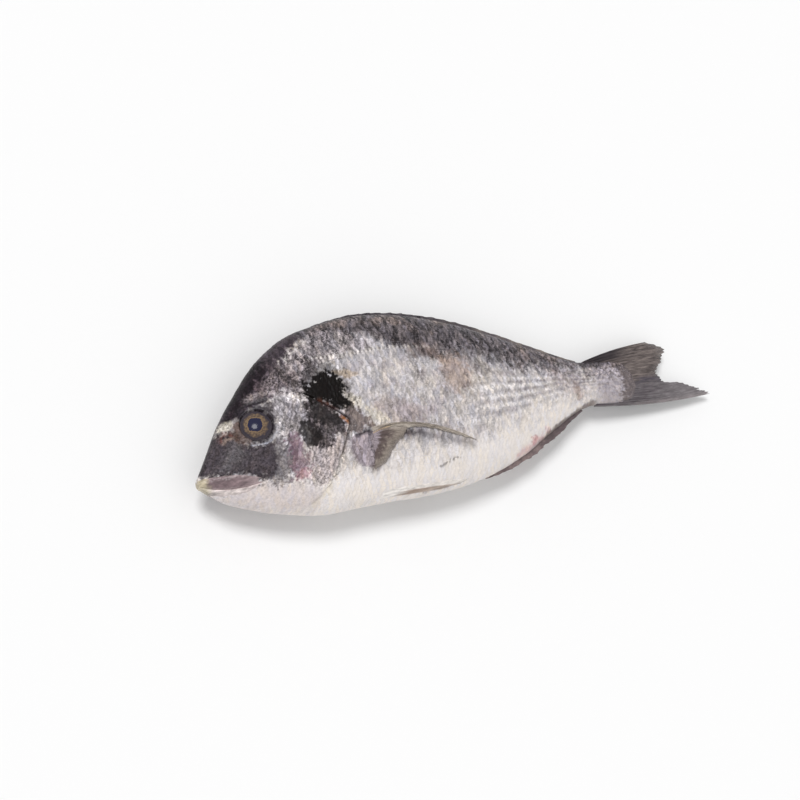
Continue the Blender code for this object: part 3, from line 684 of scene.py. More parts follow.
def make_piece(name, points, quads, values, material):
    """A mesh object from flat arrays, with its values as attributes; it rides on the fish."""
    mesh = bpy.data.meshes.new(name)
    mesh.vertices.add(len(points))
    mesh.vertices.foreach_set("co", np.asarray(points, np.float32).ravel())
    mesh.loops.add(quads.size)
    mesh.loops.foreach_set("vertex_index", quads.astype(np.int32).ravel())
    mesh.polygons.add(len(quads))
    mesh.polygons.foreach_set("loop_start", np.arange(0, quads.size, 4, dtype=np.int32))
    mesh.update(calc_edges=True)
    for key, value in values.items():
        value = np.asarray(value, np.float32)
        kind, field = ("FLOAT_VECTOR", "vector") if value.ndim == 2 else ("FLOAT", "value")
        mesh.attributes.new(key, kind, "POINT").data.foreach_set(field, value.ravel())
    shape = bmesh.new()
    shape.from_mesh(mesh)
    bmesh.ops.remove_doubles(shape, verts=shape.verts, dist=0.004 * MM)
    bmesh.ops.dissolve_degenerate(shape, edges=shape.edges, dist=0.002 * MM)
    shape.to_mesh(mesh)
    shape.free()
    mesh.validate()
    mesh.shade_smooth()
    mesh.materials.append(material)
    piece = bpy.data.objects.new(name, mesh)
    bpy.context.scene.collection.objects.link(piece)
    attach(piece, "root")
    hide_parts("fish")
    triangles = sum(len(p.vertices) - 2 for p in mesh.polygons)
    print(f"{name}: {triangles} triangles")
    return piece


def make_sheet(name, top, bottom, values, side, material):
    """A closed sheet from two grids of points in the fish's frame, joined round their rim."""
    rows, columns = top.shape[:2]
    count = rows * columns
    number = np.arange(count).reshape(rows, columns)
    rim = np.concatenate([number[0, :], number[1:, -1], number[-1, -2::-1], number[-2:0:-1, 0]])
    after = np.roll(rim, -1)
    sides = np.stack([rim + count, after + count, after, rim], -1)
    quads = np.concatenate([grid_quads(rows, columns, True), grid_quads(rows, columns) + count, sides])
    if side < 0:
        quads = quads[:, ::-1]
    points = to_table(np.concatenate([top.reshape(-1, 3), bottom.reshape(-1, 3)]), side)
    doubled = {}
    for key, value in values.items():
        flat = np.broadcast_to(value, top.shape if np.ndim(value) > 2 else top.shape[:2])
        flat = flat.reshape(-1, 3) if flat.ndim > 2 else flat.ravel()
        doubled[key] = np.concatenate([flat, flat])
    return make_piece(name, points, quads, doubled, material)


print("a grid of 3 by 4 points has", len(grid_quads(3, 4)), "quads")

# %% [markdown]
# ## Shader tools
#
# Materials are built from nodes by a few small helpers.

# %% Node helpers
def add_node(tree, kind, inputs=(), **settings):
    """A node with its settings, and inputs that are either values or other nodes' outputs."""
    made = tree.nodes.new(kind)
    for key, value in settings.items():
        setattr(made, key, value)
    for key, value in dict(inputs).items():
        if isinstance(value, bpy.types.NodeSocket):
            tree.links.new(value, made.inputs[key])
        else:
            made.inputs[key].default_value = value
    return made


def maths(tree, operation, *values):
    """One sum: the operation on its numbers."""
    return add_node(tree, "ShaderNodeMath", dict(enumerate(values)), operation=operation).outputs[0]


def mix_colour(tree, share, first, second, blend_type="MIX"):
    """Two colours blended by a share."""
    inputs = {0: share, 6: first, 7: second}
    return add_node(tree, "ShaderNodeMix", inputs, data_type="RGBA", blend_type=blend_type).outputs[2]


def read(tree, name, output="Fac"):
    """A value that the mesh carries."""
    return add_node(tree, "ShaderNodeAttribute", attribute_name=name).outputs[output]


def scale_colour(tree, colour, factor):
    """A colour made lighter or darker by a factor."""
    return add_node(tree, "ShaderNodeVectorMath", {0: colour, 3: factor}, operation="SCALE").outputs[0]


def spread(tree, value, low, high, to_low=0.0, to_high=1.0):
    """Maps the range low to high onto another range, and stops at its ends."""
    inputs = {"Value": value, 1: low, 2: high, 3: to_low, 4: to_high}
    return add_node(tree, "ShaderNodeMapRange", inputs).outputs[0]


def new_material(name):
    """An empty Principled material; returns the material, its tree and its shader."""
    made = bpy.data.materials.new(name)
    made.use_nodes = True
    return made, made.node_tree, made.node_tree.nodes["Principled BSDF"]


def new_group(name, inputs, outputs):
    """A shader group with named sockets."""
    group = bpy.data.node_groups.new(name, "ShaderNodeTree")
    for socket, kind in inputs:
        group.interface.new_socket(socket, in_out="INPUT", socket_type=kind)
    for socket in outputs:
        group.interface.new_socket(socket, in_out="OUTPUT", socket_type="NodeSocketFloat")
    return group, group.nodes.new("NodeGroupInput"), group.nodes.new("NodeGroupOutput")


print("node helpers ready")

# %% [markdown]
# ## The scale pattern as a shader group
#
# The same saw tooth rule that lifts the skin is repeated in the shader, where it is sharp at any
# distance. It also gives each scale a random tone of its own, because every scale mirrors the light
# a little differently.

# %% Group: scale rows
def build_scale_rows():
    """Height: the larger of two saw teeth. Tone: a random number for the scale that shows."""
    group, given, result = new_group("scale_rows", [("Place", "NodeSocketVector")], ["Height", "Tone"])
    place = add_node(group, "ShaderNodeSeparateXYZ", {0: given.outputs[0]})
    teeth, names = [], []
    for odd in (0.0, 1.0):
        row = maths(group, "SUBTRACT", place.outputs[1], odd)
        whole = maths(group, "MULTIPLY", maths(group, "ROUND", maths(group, "MULTIPLY", row, 0.5)), 2.0)
        across = maths(group, "SUBTRACT", row, whole)
        square = maths(group, "MULTIPLY", across, across)
        arc = maths(group, "MULTIPLY", maths(group, "SUBTRACT", 1.0, square), SCALE_BULGE)
        along = maths(group, "SUBTRACT", maths(group, "SUBTRACT", place.outputs[0], 0.5 * odd), arc)
        teeth.append(maths(group, "FRACT", along))
        column = maths(group, "FLOOR", along)
        label = {0: column, 1: maths(group, "ADD", whole, odd), 2: place.outputs[2]}
        names.append(add_node(group, "ShaderNodeCombineXYZ", label).outputs[0])
    second = maths(group, "GREATER_THAN", teeth[1], teeth[0])
    either = {0: second, 4: names[0], 5: names[1]}
    chosen = add_node(group, "ShaderNodeMix", either, data_type="VECTOR").outputs[1]
    tone = add_node(group, "ShaderNodeTexWhiteNoise", {0: chosen}, noise_dimensions="3D").outputs[0]
    group.links.new(maths(group, "MAXIMUM", *teeth), result.inputs[0])
    group.links.new(tone, result.inputs[1])
    return group


SCALE_GROUP = build_scale_rows()
print("group:", SCALE_GROUP.name)

# %% [markdown]
# Wet skin, lips, eyes and fins share a second effect: fine unevenness. One group gives a speckle for
# the colour and a height for the bumps, and each material sets its size. Two helpers use it: one
# makes a surface wet, and the other builds a whole material from the mesh's paint.

# %% Group: wet speckle
def build_wet_speckle():
    """Speckle: noise of the given size, spread to use the full range. Height: a finer noise."""
    inputs = [("Size", "NodeSocketFloat"), ("Stretch", "NodeSocketVector")]
    group, given, result = new_group("wet_speckle", inputs, ["Speckle", "Height"])
    place = add_node(group, "ShaderNodeTexCoord").outputs["Object"]
    both = {0: place, 1: given.outputs[1]}
    wide = add_node(group, "ShaderNodeVectorMath", both, operation="DIVIDE").outputs[0]
    scale = maths(group, "DIVIDE", 1.0 / MM, given.outputs[0])
    coarse = {"Vector": wide, "Scale": scale, "Detail": 4.0, "Roughness": 0.65}
    scale = maths(group, "MULTIPLY", scale, 2.3)
    fine = {"Vector": wide, "Scale": scale, "Detail": 2.0, "Roughness": 0.5}
    coarse = add_node(group, "ShaderNodeTexNoise", coarse).outputs[0]
    fine = add_node(group, "ShaderNodeTexNoise", fine).outputs[0]
    group.links.new(spread(group, coarse, 0.32, 0.68), result.inputs[0])
    group.links.new(fine, result.inputs[1])
    return group


SPECKLE_GROUP = build_wet_speckle()
COAT_ROUGHNESS = 0.2


def add_speckle(tree, size, stretch=(1.0, 1.0, 1.0)):
    """The wet speckle group in a material, at a size in millimetres."""
    made = add_node(tree, "ShaderNodeGroup", node_tree=SPECKLE_GROUP)
    made.inputs["Size"].default_value = size
    made.inputs["Stretch"].default_value = stretch
    return made.outputs


def make_wet(tree, shader, speckle, height, roughness, mirror, coat, bumps):
    """Smoother where the speckle is high, with a thin clear coat, and bumps from a height.

    roughness holds its two ends, and bumps their strength and their depth in millimetres.
    """
    tree.links.new(spread(tree, speckle, 0.0, 1.0, *roughness), shader.inputs["Roughness"])
    shader.inputs["Specular IOR Level"].default_value = mirror
    shader.inputs["Coat Weight"].default_value = coat
    shader.inputs["Coat Roughness"].default_value = COAT_ROUGHNESS
    settings = {"Height": height, "Strength": bumps[0], "Distance": bumps[1] * MM}
    bump = add_node(tree, "ShaderNodeBump", settings)
    tree.links.new(bump.outputs[0], shader.inputs["Normal"])


def build_painted(name, size, stretch, tones, *wetness):
    """A wet material: the mesh's paint times a factor that the speckle moves between two tones."""
    made, tree, shader = new_material(name)
    speckle, fine = add_speckle(tree, size, stretch)
    factor = spread(tree, speckle, 0.0, 1.0, *tones)
    paint = scale_colour(tree, read(tree, "paint", "Vector"), factor)
    tree.links.new(paint, shader.inputs["Base Color"])
    make_wet(tree, shader, speckle, fine, *wetness)
    return made, tree, shader


print("group:", SPECKLE_GROUP.name)

# %% [markdown]
# ## The skin's material
#
# The paint is multiplied by a tone that changes from scale to scale, as strongly as the grain says,
# and is tinted a little warmer or cooler. The free edges of the scales are darker, with a painted
# highlight on a band ahead of them. Where the skin is silver it is part metal, and all of it is wet.

# %% Material: skin
def build_skin():
    """Paint times a factor: one plus the grain times the swing of the scale's own tone and its rim."""
    skin, tree, shader = new_material("fish_skin")
    scales = add_node(tree, "ShaderNodeGroup", node_tree=SCALE_GROUP)
    tree.links.new(read(tree, "scale_place", "Vector"), scales.inputs[0])
    height, tone = scales.outputs
    speckle, fine = add_speckle(tree, 1.0)
    scaled, grain, silver = [read(tree, name) for name in ("scaled", "grain", "silver")]
    tones = {0: maths(tree, "MULTIPLY", scaled, 0.6), 2: speckle, 3: tone}
    own = add_node(tree, "ShaderNodeMix", tones).outputs[0]
    swing = maths(tree, "MULTIPLY", maths(tree, "SUBTRACT", own, 0.5), 3.4)
    # Each scale's free edge is darker, and the band ahead of it is lightened as a painted highlight
    dark_edge = maths(tree, "MULTIPLY", spread(tree, height, 0.82, 0.98), 2.2)
    rim = maths(tree, "SUBTRACT", spread(tree, height, 0.45, 0.8), dark_edge)
    rim = maths(tree, "MULTIPLY", maths(tree, "MULTIPLY", rim, scaled), 0.22)
    swing = maths(tree, "ADD", swing, rim)
    factor = maths(tree, "MAXIMUM", maths(tree, "MULTIPLY_ADD", swing, grain, 1.0), 0.2)
    hue = maths(tree, "FRACT", maths(tree, "MULTIPLY", tone, 7.3))
    tint = mix_colour(tree, hue, (0.97, 0.98, 1.04, 1.0), (1.04, 1.0, 0.95, 1.0))
    colour = mix_colour(tree, 1.0, read(tree, "paint", "Vector"), tint, "MULTIPLY")
    tree.links.new(scale_colour(tree, colour, factor), shader.inputs["Base Color"])
    metal = maths(tree, "MULTIPLY", maths(tree, "MULTIPLY", silver, tone), 0.22)
    tree.links.new(metal, shader.inputs["Metallic"])
    lift = maths(tree, "MULTIPLY_ADD", height, scaled, maths(tree, "MULTIPLY", fine, 0.8))
    make_wet(tree, shader, speckle, lift, (0.48, 0.26), 0.12, 0.02, (0.5, 0.12))
    return skin


SKIN = build_skin()
print("skin material:", SKIN.name)

# %% [markdown]
# ## The skin's pieces
#
# The head needs the finest grid, for the rims of the eye and the mouth. The trunk follows in one
# long piece, and the flank that lies on the table is coarser. All are the same surface with the
# same relief and paint, so their borders meet.

# %% Skin of the head and the trunk
HEAD_END = 78.0
TAIL_END = 247.0


def skin_values(x, y, share, side):
    """What the skin's mesh carries: paint, grain, silver, how scaled it is, and the scales' places."""
    paint, grain, silver = paint_skin(x, y, share)
    u, v = scale_place(x, y, share)
    place = np.stack([u, v, np.full_like(u, 40.0 * side)], -1)
    return {"paint": paint, "grain": grain, "silver": silver,
            "scaled": scaled_share(x, y), "scale_place": place}


def make_skin(name, start, end, along, across, side):
    """One stretch of skin on one side: a grid of x by share of the way round, lifted by the relief."""
    x, share = np.meshgrid(np.linspace(start, end, along), np.linspace(0.0, 1.0, across), indexing="ij")
    y = skin_point(x, share)[..., 1]
    points = to_table(skin_point(x, share, skin_relief(x, y, share)), side)
    values = skin_values(x, y, share, side)
    values = {key: value.reshape((-1, 3) if value.ndim > 2 else -1) for key, value in values.items()}
    quads = grid_quads(along, across, flip=side > 0)
    return make_piece(name, points.reshape(-1, 3), quads, values, SKIN)


make_skin("skin_head_left", -SNOUT_CAP, HEAD_END, 290, 320, 1)
make_skin("skin_trunk_left", HEAD_END, TAIL_END, 390, 250, 1)
make_skin("skin_head_right", -SNOUT_CAP, HEAD_END, 180, 200, -1)
make_skin("skin_trunk_right", HEAD_END, TAIL_END, 260, 190, -1)

# %% [markdown]
# ## Gill covers
#
# The gill cover is a bony plate that overlaps the shoulder. It leaves the skin gently at the cheek
# and ends in a rounded free edge, with a slit behind it that painted shade darkens. It is a separate
# sheet over the skin, and its grid runs in rays from the cheek, so the free edge is a smooth line.

# %% Gill covers of both sides
COVER_START = 0.62
COVER_RISE = 1.15
COVER_SUNK = 0.35
COVER_ARC = (-66.0, 62.0)


def make_gill_cover(name, side):
    """A fan-shaped sheet: an oval's rays by its turn, risen by a smooth step towards the edge."""
    reach, degrees = np.linspace(COVER_START, 1.0, 90), np.linspace(*COVER_ARC, 260)
    reach, degrees = np.meshgrid(reach, degrees, indexing="ij")
    turn = np.radians(degrees)
    shake = 0.008 * rough_noise(degrees, reach * 0, 5.0, 41) * fade((reach - 0.9) / 0.1)
    uneven = gill_edge(degrees) * (1 + shake)
    x = GILL_CENTRE[0] + GILL_RADII[0] * reach * uneven * np.cos(turn)
    y = GILL_CENTRE[1] + GILL_RADII[1] * reach * uneven * np.sin(turn)
    share = share_at(x, y)
    ends = np.sin(np.linspace(0.0, np.pi, turn.shape[1]))[None] ** 0.6
    ends = ends * (0.45 + 0.55 * fade((degrees + 60.0) / 35.0))
    rise = fade((reach - COVER_START) / (1 - COVER_START)) * ends
    rounded = fade((1.0 - reach) / 0.012 + 0.3)
    grooves = 0.10 * np.cos(degrees * 0.9) * fade((reach - 0.75) / 0.2) * ends
    lift = (COVER_RISE * (0.55 + 0.45 * rounded) + COVER_SUNK) * rise - COVER_SUNK + grooves
    top = flank_point(x, y, plain_relief(x, y, share) + lift)
    bottom = flank_point(x, y, -1.1)
    values = skin_values(x, y, share, side)
    rim = fade((reach - 0.985) / 0.01) * ends * fade((y + 20.0) / 10.0)
    values["paint"] = values["paint"] * (1 - 0.35 * rim[..., None])
    return make_sheet(name, top, bottom, values, side, SKIN)


make_gill_cover("gill_cover_left", 1)
make_gill_cover("gill_cover_right", -1)

# %% [markdown]
# ## Lips
#
# Each lip is one closed band from the left corner of the mouth round the snout to the right corner.
# Across, it is a half circle that grows from nothing at the corners. Its three colours are those of
# the front, the body and the rim, and fine wrinkles run along it.

# %% Material and mesh of the lips
LIP_WETNESS = ((0.45, 0.3), 0.25, 0.08, (0.5, 0.15))
LIP = build_painted("fish_lip", 1.3, (2.5, 1.0, 1.0), (0.78, 1.2), *LIP_WETNESS)[0]
print("lip material:", LIP.name)
LOWER_LIP = ((-0.8, -17.7), (0.5, -19.2), (5.0, -22.4), (11.0, -24.4), (18.0, -24.8), (25.0, -23.6),
             (29.5, -21.8))


def make_lip(name, top_line, low_line, end, rise, colours):
    """A band between two lines; its lift is the rise times the square root of 4 a (1 - a)."""
    half = 140
    x = np.linspace(end, -SNOUT_CAP, half)
    x = np.concatenate([x, x[-2::-1]])[:, None]
    mirror = np.ones(x.shape[0])
    mirror[half:] = -1.0
    top, low = [np.interp(x, *line_points(line, 80).T) for line in (top_line, low_line)]
    across = np.linspace(0.0, 1.0, 22)[None]
    y = low + (top - low) * across
    taper = fade((end - x) / 16.0) ** 0.5
    lift = rise * np.sqrt(4 * across * (1 - across)) * taper - 0.35 * (1 - taper) - 0.1
    x = np.broadcast_to(x, y.shape)
    lift = lift + 0.12 * rough_noise(x, y, 2.0, 51, 2) * taper
    outer, inner = flank_point(x, y, lift), flank_point(x, y, -1.2)
    outer[..., 2] *= mirror[:, None]
    inner[..., 2] *= mirror[:, None]
    front, body, rim = [linear(colour) for colour in colours]
    mix = fade((4.5 - x + 0.8 * rough_noise(x, y, 2.0, 53)) / 3.5)[..., None]
    wrinkles = 1 + 0.30 * rough_noise(x / 3.0, y, 0.9, 57)
    edge = fade((across - 0.8 + 0.1 * rough_noise(x, y, 2.6, 59)) / 0.15)
    edge = np.clip(edge + 0.7 * fade((0.22 - across) / 0.2), 0.0, 1.0)[..., None]
    edge = np.maximum(edge, 0.8 * fade((x - 14.0) / 14.0)[..., None])
    paint = ((body * (1 - edge) + rim * edge) * (1 - mix) + front * mix) * wrinkles[..., None]
    return make_sheet(name, outer, inner, {"paint": paint}, 1, LIP)


UPPER_COLOURS = ((186, 174, 150), (118, 101, 104), (152, 137, 138))
LOWER_COLOURS = ((196, 186, 166), (202, 191, 188), (186, 168, 168))
make_lip("upper_lip", LIP_TOP, MOUTH_LINE, 27.6, 0.8, UPPER_COLOURS)
make_lip("lower_lip", MOUTH_LINE, LOWER_LIP, 27.0, 0.5, LOWER_COLOURS)

# %% [markdown]
# ## Eyes
#
# A fish's eye is a flat dome: a navy pupil, a gold-brown iris with an uneven inner rim, and a grey
# border where the skin begins. The dome is a grid of rings, and its colours are read from the
# distance to its middle, shaken by noise. The pupil is the smoothest part, and so the glassiest.

# %% Material: eye
# Where each colour begins and is full, in millimetres from the pupil's middle, its share, and itself:
# the grey border, the gold rim of the pupil, the pupil, and the skin's edge
EYE_RINGS = ((5.2, 6.1, 1.0, (62, 58, 66)), (4.1, 3.7, 0.7, (140, 117, 88)),
             (3.55, 3.2, 1.0, (44, 45, 66)), (6.4, 7.0, 1.0, (78, 72, 77)))


def build_eye():
    """Colour by distance from the pupil's middle: the iris, with each ring's colour laid over it."""
    eye, tree, shader = new_material("fish_eye")
    speckle, fine = add_speckle(tree, 2.2)
    reach = maths(tree, "ADD", read(tree, "eye_reach"), spread(tree, speckle, 0.0, 1.0, -0.55, 0.55))

    def colour_of(values):
        return tuple(linear(values)) + (1.0,)

    mottled = spread(tree, fine, 0.4, 0.62)
    colour = mix_colour(tree, mottled, colour_of((84, 72, 66)), colour_of((122, 103, 83)))
    for begin, full, most, ring_colour in EYE_RINGS:
        share = spread(tree, reach, begin, full, 0.0, most)
        colour = mix_colour(tree, share, colour, colour_of(ring_colour))
    tree.links.new(colour, shader.inputs["Base Color"])
    tree.links.new(spread(tree, reach, 3.0, 5.0, 0.12, 0.3), shader.inputs["Roughness"])
    shader.inputs["Specular IOR Level"].default_value = 0.15
    return eye


EYE_MATERIAL = build_eye()
print("eye material:", EYE_MATERIAL.name)


# %% The eyeballs
EYE_RISE = 2.3
EYE_SUNK = 1.7
EYE_WIDE = 7.5
PUPIL_SHIFT = (-1.3, 0.4)


def unit(vector):
    """The vector divided by its length."""
    return vector / np.linalg.norm(vector)


def flank_axes(x, y):
    """Axes of the left flank as columns: tailwards, towards the back, and outwards."""
    step = 0.5
    tailwards = flank_point(x + step, y) - flank_point(x - step, y)
    upwards = flank_point(x, y + step) - flank_point(x, y - step)
    tailwards = unit(tailwards)
    outwards = unit(np.cross(tailwards, upwards))
    return np.stack([tailwards, np.cross(outwards, tailwards), outwards], 1)


def make_eye(name, side):
    """Rings about the eye's axis; the height is a flat dome: one less the ring to the power 2.1."""
    ring, turn = np.linspace(0.0, 1.0, 48) ** 0.8, np.linspace(0.0, 2 * np.pi, 97)
    ring, turn = np.meshgrid(ring, turn, indexing="ij")
    wide = EYE_WIDE * ring
    dome = EYE_RISE * (1 - ring**2.1) - EYE_SUNK
    local = np.stack([wide * np.cos(turn), wide * np.sin(turn), dome], -1)
    points = local @ flank_axes(*EYE).T + flank_point(*EYE, 0.0)
    shift = [part * (1 - ring) for part in PUPIL_SHIFT]
    reach = np.hypot(wide * np.cos(turn) - shift[0], wide * np.sin(turn) - shift[1])
    quads = grid_quads(*ring.shape, flip=side < 0)
    points = to_table(points, side).reshape(-1, 3)
    return make_piece(name, points, quads, {"eye_reach": reach.ravel()}, EYE_MATERIAL)


make_eye("eye_left", 1)
make_eye("eye_right", -1)

# %% [markdown]
# ## Fins
#
# A fin is a thin skin held open by rays. Each one here is a closed sheet whose grid runs along the
# rays: from a line of roots to a curve through the tips. Where a ray runs, the sheet swells, and
# between two rays it is thin and its edge is torn back a little.

# %% Material: fins
def build_fin():
    """The fin's paint with streaks along it, slightly see-through where the mesh says so."""
    wetness = ((0.5, 0.32), 0.22, 0.04, (0.4, 0.1))
    fin, tree, shader = build_painted("fish_fin", 1.2, (4.0, 1.0, 1.0), (0.72, 1.28), *wetness)
    tree.links.new(maths(tree, "SUBTRACT", 1.0, read(tree, "clear")), shader.inputs["Alpha"])
    return fin


FIN = build_fin()
print("fin material:", FIN.name)


# %% A fin from its rays
LINES_PER_RAY = 8
EDGE_TORN = 0.03


def ray_fan(roots, tips, rays, steps, bow, seed):
    """Grid of a fin in x and y, with its ray mask, its way to the edge and its place across.

    Each grid line runs from a point of the root line to a point of a curve through the tips, bowed
    by a parabola. Each ray falls short of its full length by a random share up to EDGE_TORN, and
    between two rays 0.6 times EDGE_TORN is missing besides.
    """
    lines = rays * LINES_PER_RAY + 1
    share = np.linspace(0.0, 1.0, lines)
    knots = np.linspace(0.0, 1.0, len(tips))
    tips = np.array(tips, float)
    ends = np.stack([smooth_curve(share, knots, tips[:, i]) for i in (0, 1)], -1)
    starts = np.array(roots[0]) + share[:, None] * (np.array(roots[1], float) - np.array(roots[0]))
    wave = ripple(share * rays)
    ragged = np.random.default_rng(seed).uniform(0.0, 1.0, rays + 1)
    ragged = ragged[np.minimum((share * rays + 0.5).astype(int), rays)]
    length = 1 - EDGE_TORN * (0.6 * (1 - wave) + ragged)
    along = np.linspace(0.0, 1.0, steps)
    path = along[None] * length[:, None]
    grid = starts[:, None] + path[..., None] * (ends - starts)[:, None]
    grid[..., 1] += 4 * bow(share)[:, None] * path * (1 - path)
    fine = ripple(2 * share * rays)
    branch = fade((along - 0.45) / 0.4)[None]
    mask = wave[:, None] * (1 - branch) + fine[:, None] * branch
    across = np.broadcast_to(share[:, None], mask.shape)
    return grid, mask, np.broadcast_to(along[None], mask.shape), across


def shade_by(first, second, share):
    """A colour between two, given as 0 to 255 values, for each place."""
    return blend(linear(first), share, linear(second))


print("fin tools ready")

# %% [markdown]
# ### Tail fin
#
# The tail fin is forked and half folded. The upper lobe is brown with clear rays and a dark front,
# the lower lobe is smoother and bluish, with a pale lower rim.

# %% Tail fin
TAIL_ROOTS = ((219.0, 11.9), (219.0, -11.7))
TAIL_TIPS = ((262.0, 20.4), (273.5, 17.0), (271.0, 13.0), (268.0, 8.6), (263.4, 4.4), (265.4, 1.2),
             (268.4, -1.3), (279.5, -2.2), (286.6, -5.0), (291.4, -6.9), (296.0, -8.8))


def make_tail_fin():
    """The tail fin in the fish's middle plane, thick at the root and thin at the edge."""
    fan = ray_fan(TAIL_ROOTS, TAIL_TIPS, 24, 120, lambda s: 0.9 * (1 - 3.6 * s), 3)
    grid, ray, far, share = fan
    x, y = grid[..., 0], grid[..., 1]
    half = (1.45 - 1.15 * far**0.6) * (0.6 + 0.4 * ray)
    wave = 0.5 * np.sin(far * 5.0 + share * 9.0) * far
    streak = rough_noise(far * 9, share * 60, 1.0, 61)
    upper = fade((0.58 - share + 0.04 * streak) / 0.12)
    low = 0.3 + 0.3 * streak + 0.3 * (ray - 0.5) + 0.6 * fade((x - 250) / 30)
    high = 0.4 + 0.5 * (ray - 0.5) + 0.5 * streak + 0.15 * far
    paint = shade_by((84, 78, 82), (122, 117, 119), low)
    paint = blend(paint, upper, shade_by((74, 67, 67), (122, 112, 108), high))
    dark = 0.9 * fade((y - 9.0 + 0.12 * (228 - x) + 1.2 * streak) / 3.0) * fade((254 - x) / 18)
    fork = 0.6 * np.exp(-(((share - 0.50) / 0.05) ** 2)) * fade((x - 246) / 10)
    pale = 0.45 * fade((share - 0.9) / 0.1) * fade((x - 238) / 10)
    clear = 0.5 * fade((far - 0.8) / 0.2) * (1 - ray) * upper
    for mask, colour in ((dark, (48, 43, 48)), (fork, (72, 68, 82)), (pale, (156, 147, 147))):
        paint = blend(paint, mask, linear(colour))
    top = np.concatenate([grid, (half + wave)[..., None]], -1)
    bottom = np.concatenate([grid, (wave - half)[..., None]], -1)
    return make_sheet("tail_fin", top, bottom, {"paint": paint, "clear": clear}, 1, FIN)


make_tail_fin()

# %% [markdown]
# ### Back fin and anal fin
#
# Both are folded down. Of the back fin only a low dark ridge of spines shows, which lie one behind
# the other along the back. The anal fin is a dark soft fringe that widens towards the tail.

# %% Back fin and anal fin
def make_ridge_fin(name, reach, height, front, spines, side, colours):
    """A low sheet along the back or the belly; its edge is a row of slanted teeth."""
    x = np.linspace(reach[0], reach[1], spines * 18 + 1)
    share = np.linspace(0.0, 1.0, x.size)
    line = section(x)[0 if side > 0 else 1]
    tooth = np.mod(share * spines, 1.0)
    outline = np.sin(np.pi * (0.98 * share + 0.01)) ** 0.5
    outline = outline * (1 - 0.55 * fade((share - 0.7) / 0.3) * (front < 1))
    grown = front + (1 - front) * share
    tall = height * grown * (0.85 + 0.16 * tooth + 0.2 * soft_noise(x, x * 0, 2.6, 71)) * outline
    levels = np.linspace(0.0, 1.0, 14)
    y = line[:, None] + side * (-1.5 + levels[None] * (tall[:, None] + 1.5))
    slant = x[:, None] + levels[None] * 1.6
    spine = np.exp(-(((tooth[:, None] - 0.75) / 0.16) ** 2)) * np.ones_like(y)
    half = (1.35 - 1.1 * levels)[None] * (0.6 + 0.4 * spine)
    paint = shade_by(colours[0], colours[1], 0.2 * spine + 0.5 + 0.7 * rough_noise(slant, y, 2.2, 73))
    rear = shade_by(colours[2], colours[1], 0.5 + 0.6 * soft_noise(slant, y, 2.2, 75))
    paint = blend(paint, fade((share[:, None] - 0.45) / 0.3), rear)
    top, bottom = np.stack([slant, y, half], -1), np.stack([slant, y, -half], -1)
    values = {"paint": paint, "clear": np.zeros(y.shape)}
    if side < 0:
        top, bottom, values["paint"] = top[::-1], bottom[::-1], paint[::-1]
    return make_sheet(name, top, bottom, values, 1, FIN)


BACK_FIN_COLOURS = ((50, 45, 49), (86, 80, 84), (132, 122, 116))
ANAL_FIN_COLOURS = ((136, 120, 118), (108, 95, 96), (84, 75, 77))
make_ridge_fin("back_fin", (66.0, 213.0), 1.3, 1.0, 26, 1, BACK_FIN_COLOURS)
make_ridge_fin("anal_fin", (143.0, 209.0), 4.2, 0.3, 16, -1, ANAL_FIN_COLOURS)

# %% [markdown]
# ### Breast fins and belly fins
#
# The breast fin lies folded against the flank: a long narrow blade of the upper rays, arched and
# just clear of the skin, and a web of short lower rays. The belly fin is pressed flat under the
# belly. Both are made for the left flank and mirrored for the right. Each piece is named after the
# colour at its root: the breast fins are mauve and mauve.001, the belly fins belly and belly.001.

# %% Breast fins and belly fins
BREAST_ROOTS = ((80.0, -8.6), (82.0, -16.5))
BREAST_TIPS = ((139.0, -23.8), (127.0, -19.2), (114.0, -14.2), (102.0, -12.2), (97.5, -15.6),
               (91.5, -20.2), (86.5, -25.6), (80.5, -27.8))
BELLY_ROOTS = ((82.0, -37.2), (80.0, -40.3))
BELLY_TIPS = ((133.0, -39.6), (128.0, -40.9), (118.0, -41.9))


def make_flank_fin(fan, rise, colours, root, side):
    """A folded fin on the flank: its grid is laid on the skin and lifted, most in its middle.

    root says how far along the rays the bare root reaches, where across the fin it starts, and the
    name of its colour, which is the piece's name too.
    """
    grid, ray, far, share = fan
    x, y = grid[..., 0], grid[..., 1]
    taper = 0.45 + 0.55 * np.sin(np.pi * np.clip(far * 0.8 + 0.12, 0, 1))
    rim = 0.35 + 0.65 * np.sin(np.pi * np.clip(share * 0.9 + 0.05, 0, 1)) ** 0.5
    lift = rise * taper * rim * (0.75 + 0.25 * ray)
    rooted = fade(far / 0.15)
    top = flank_point(x, y, lift * rooted - 0.3 * (1 - rooted))
    bottom = flank_point(x, y, np.minimum(lift * rooted - 0.5, 0.2) - 0.5)
    streak = rough_noise(far * 9, share * 40, 1.0, 81)
    blade = shade_by(colours[0], colours[1], 0.5 + 0.4 * (ray - 0.5) + 0.5 * streak)
    web = shade_by(colours[2], colours[3], fade((far - 0.45) / 0.4 + 0.3 * streak))
    paint = blend(blade, fade((share - 0.42) / 0.1), web)
    reach, start, name = root
    bare = fade((reach - far + 0.06 * streak) / 0.15) * fade((share - start) / 0.08 + 1.0)
    bone = np.exp(-(((share - start - 0.02) / 0.03) ** 2))
    bone = bone * fade((far - 0.03) / 0.05) * fade((0.55 - far) / 0.1)
    paint = blend(blend(paint, bare, name), bone, "tan")
    clear = 0.25 * fade((far - 0.9) / 0.1)
    clear = clear + 0.4 * fade((far - 0.72) / 0.2) * fade((share - 0.5) / 0.1)
    return make_sheet(name, top, bottom, {"paint": paint, "clear": clear}, side, FIN)


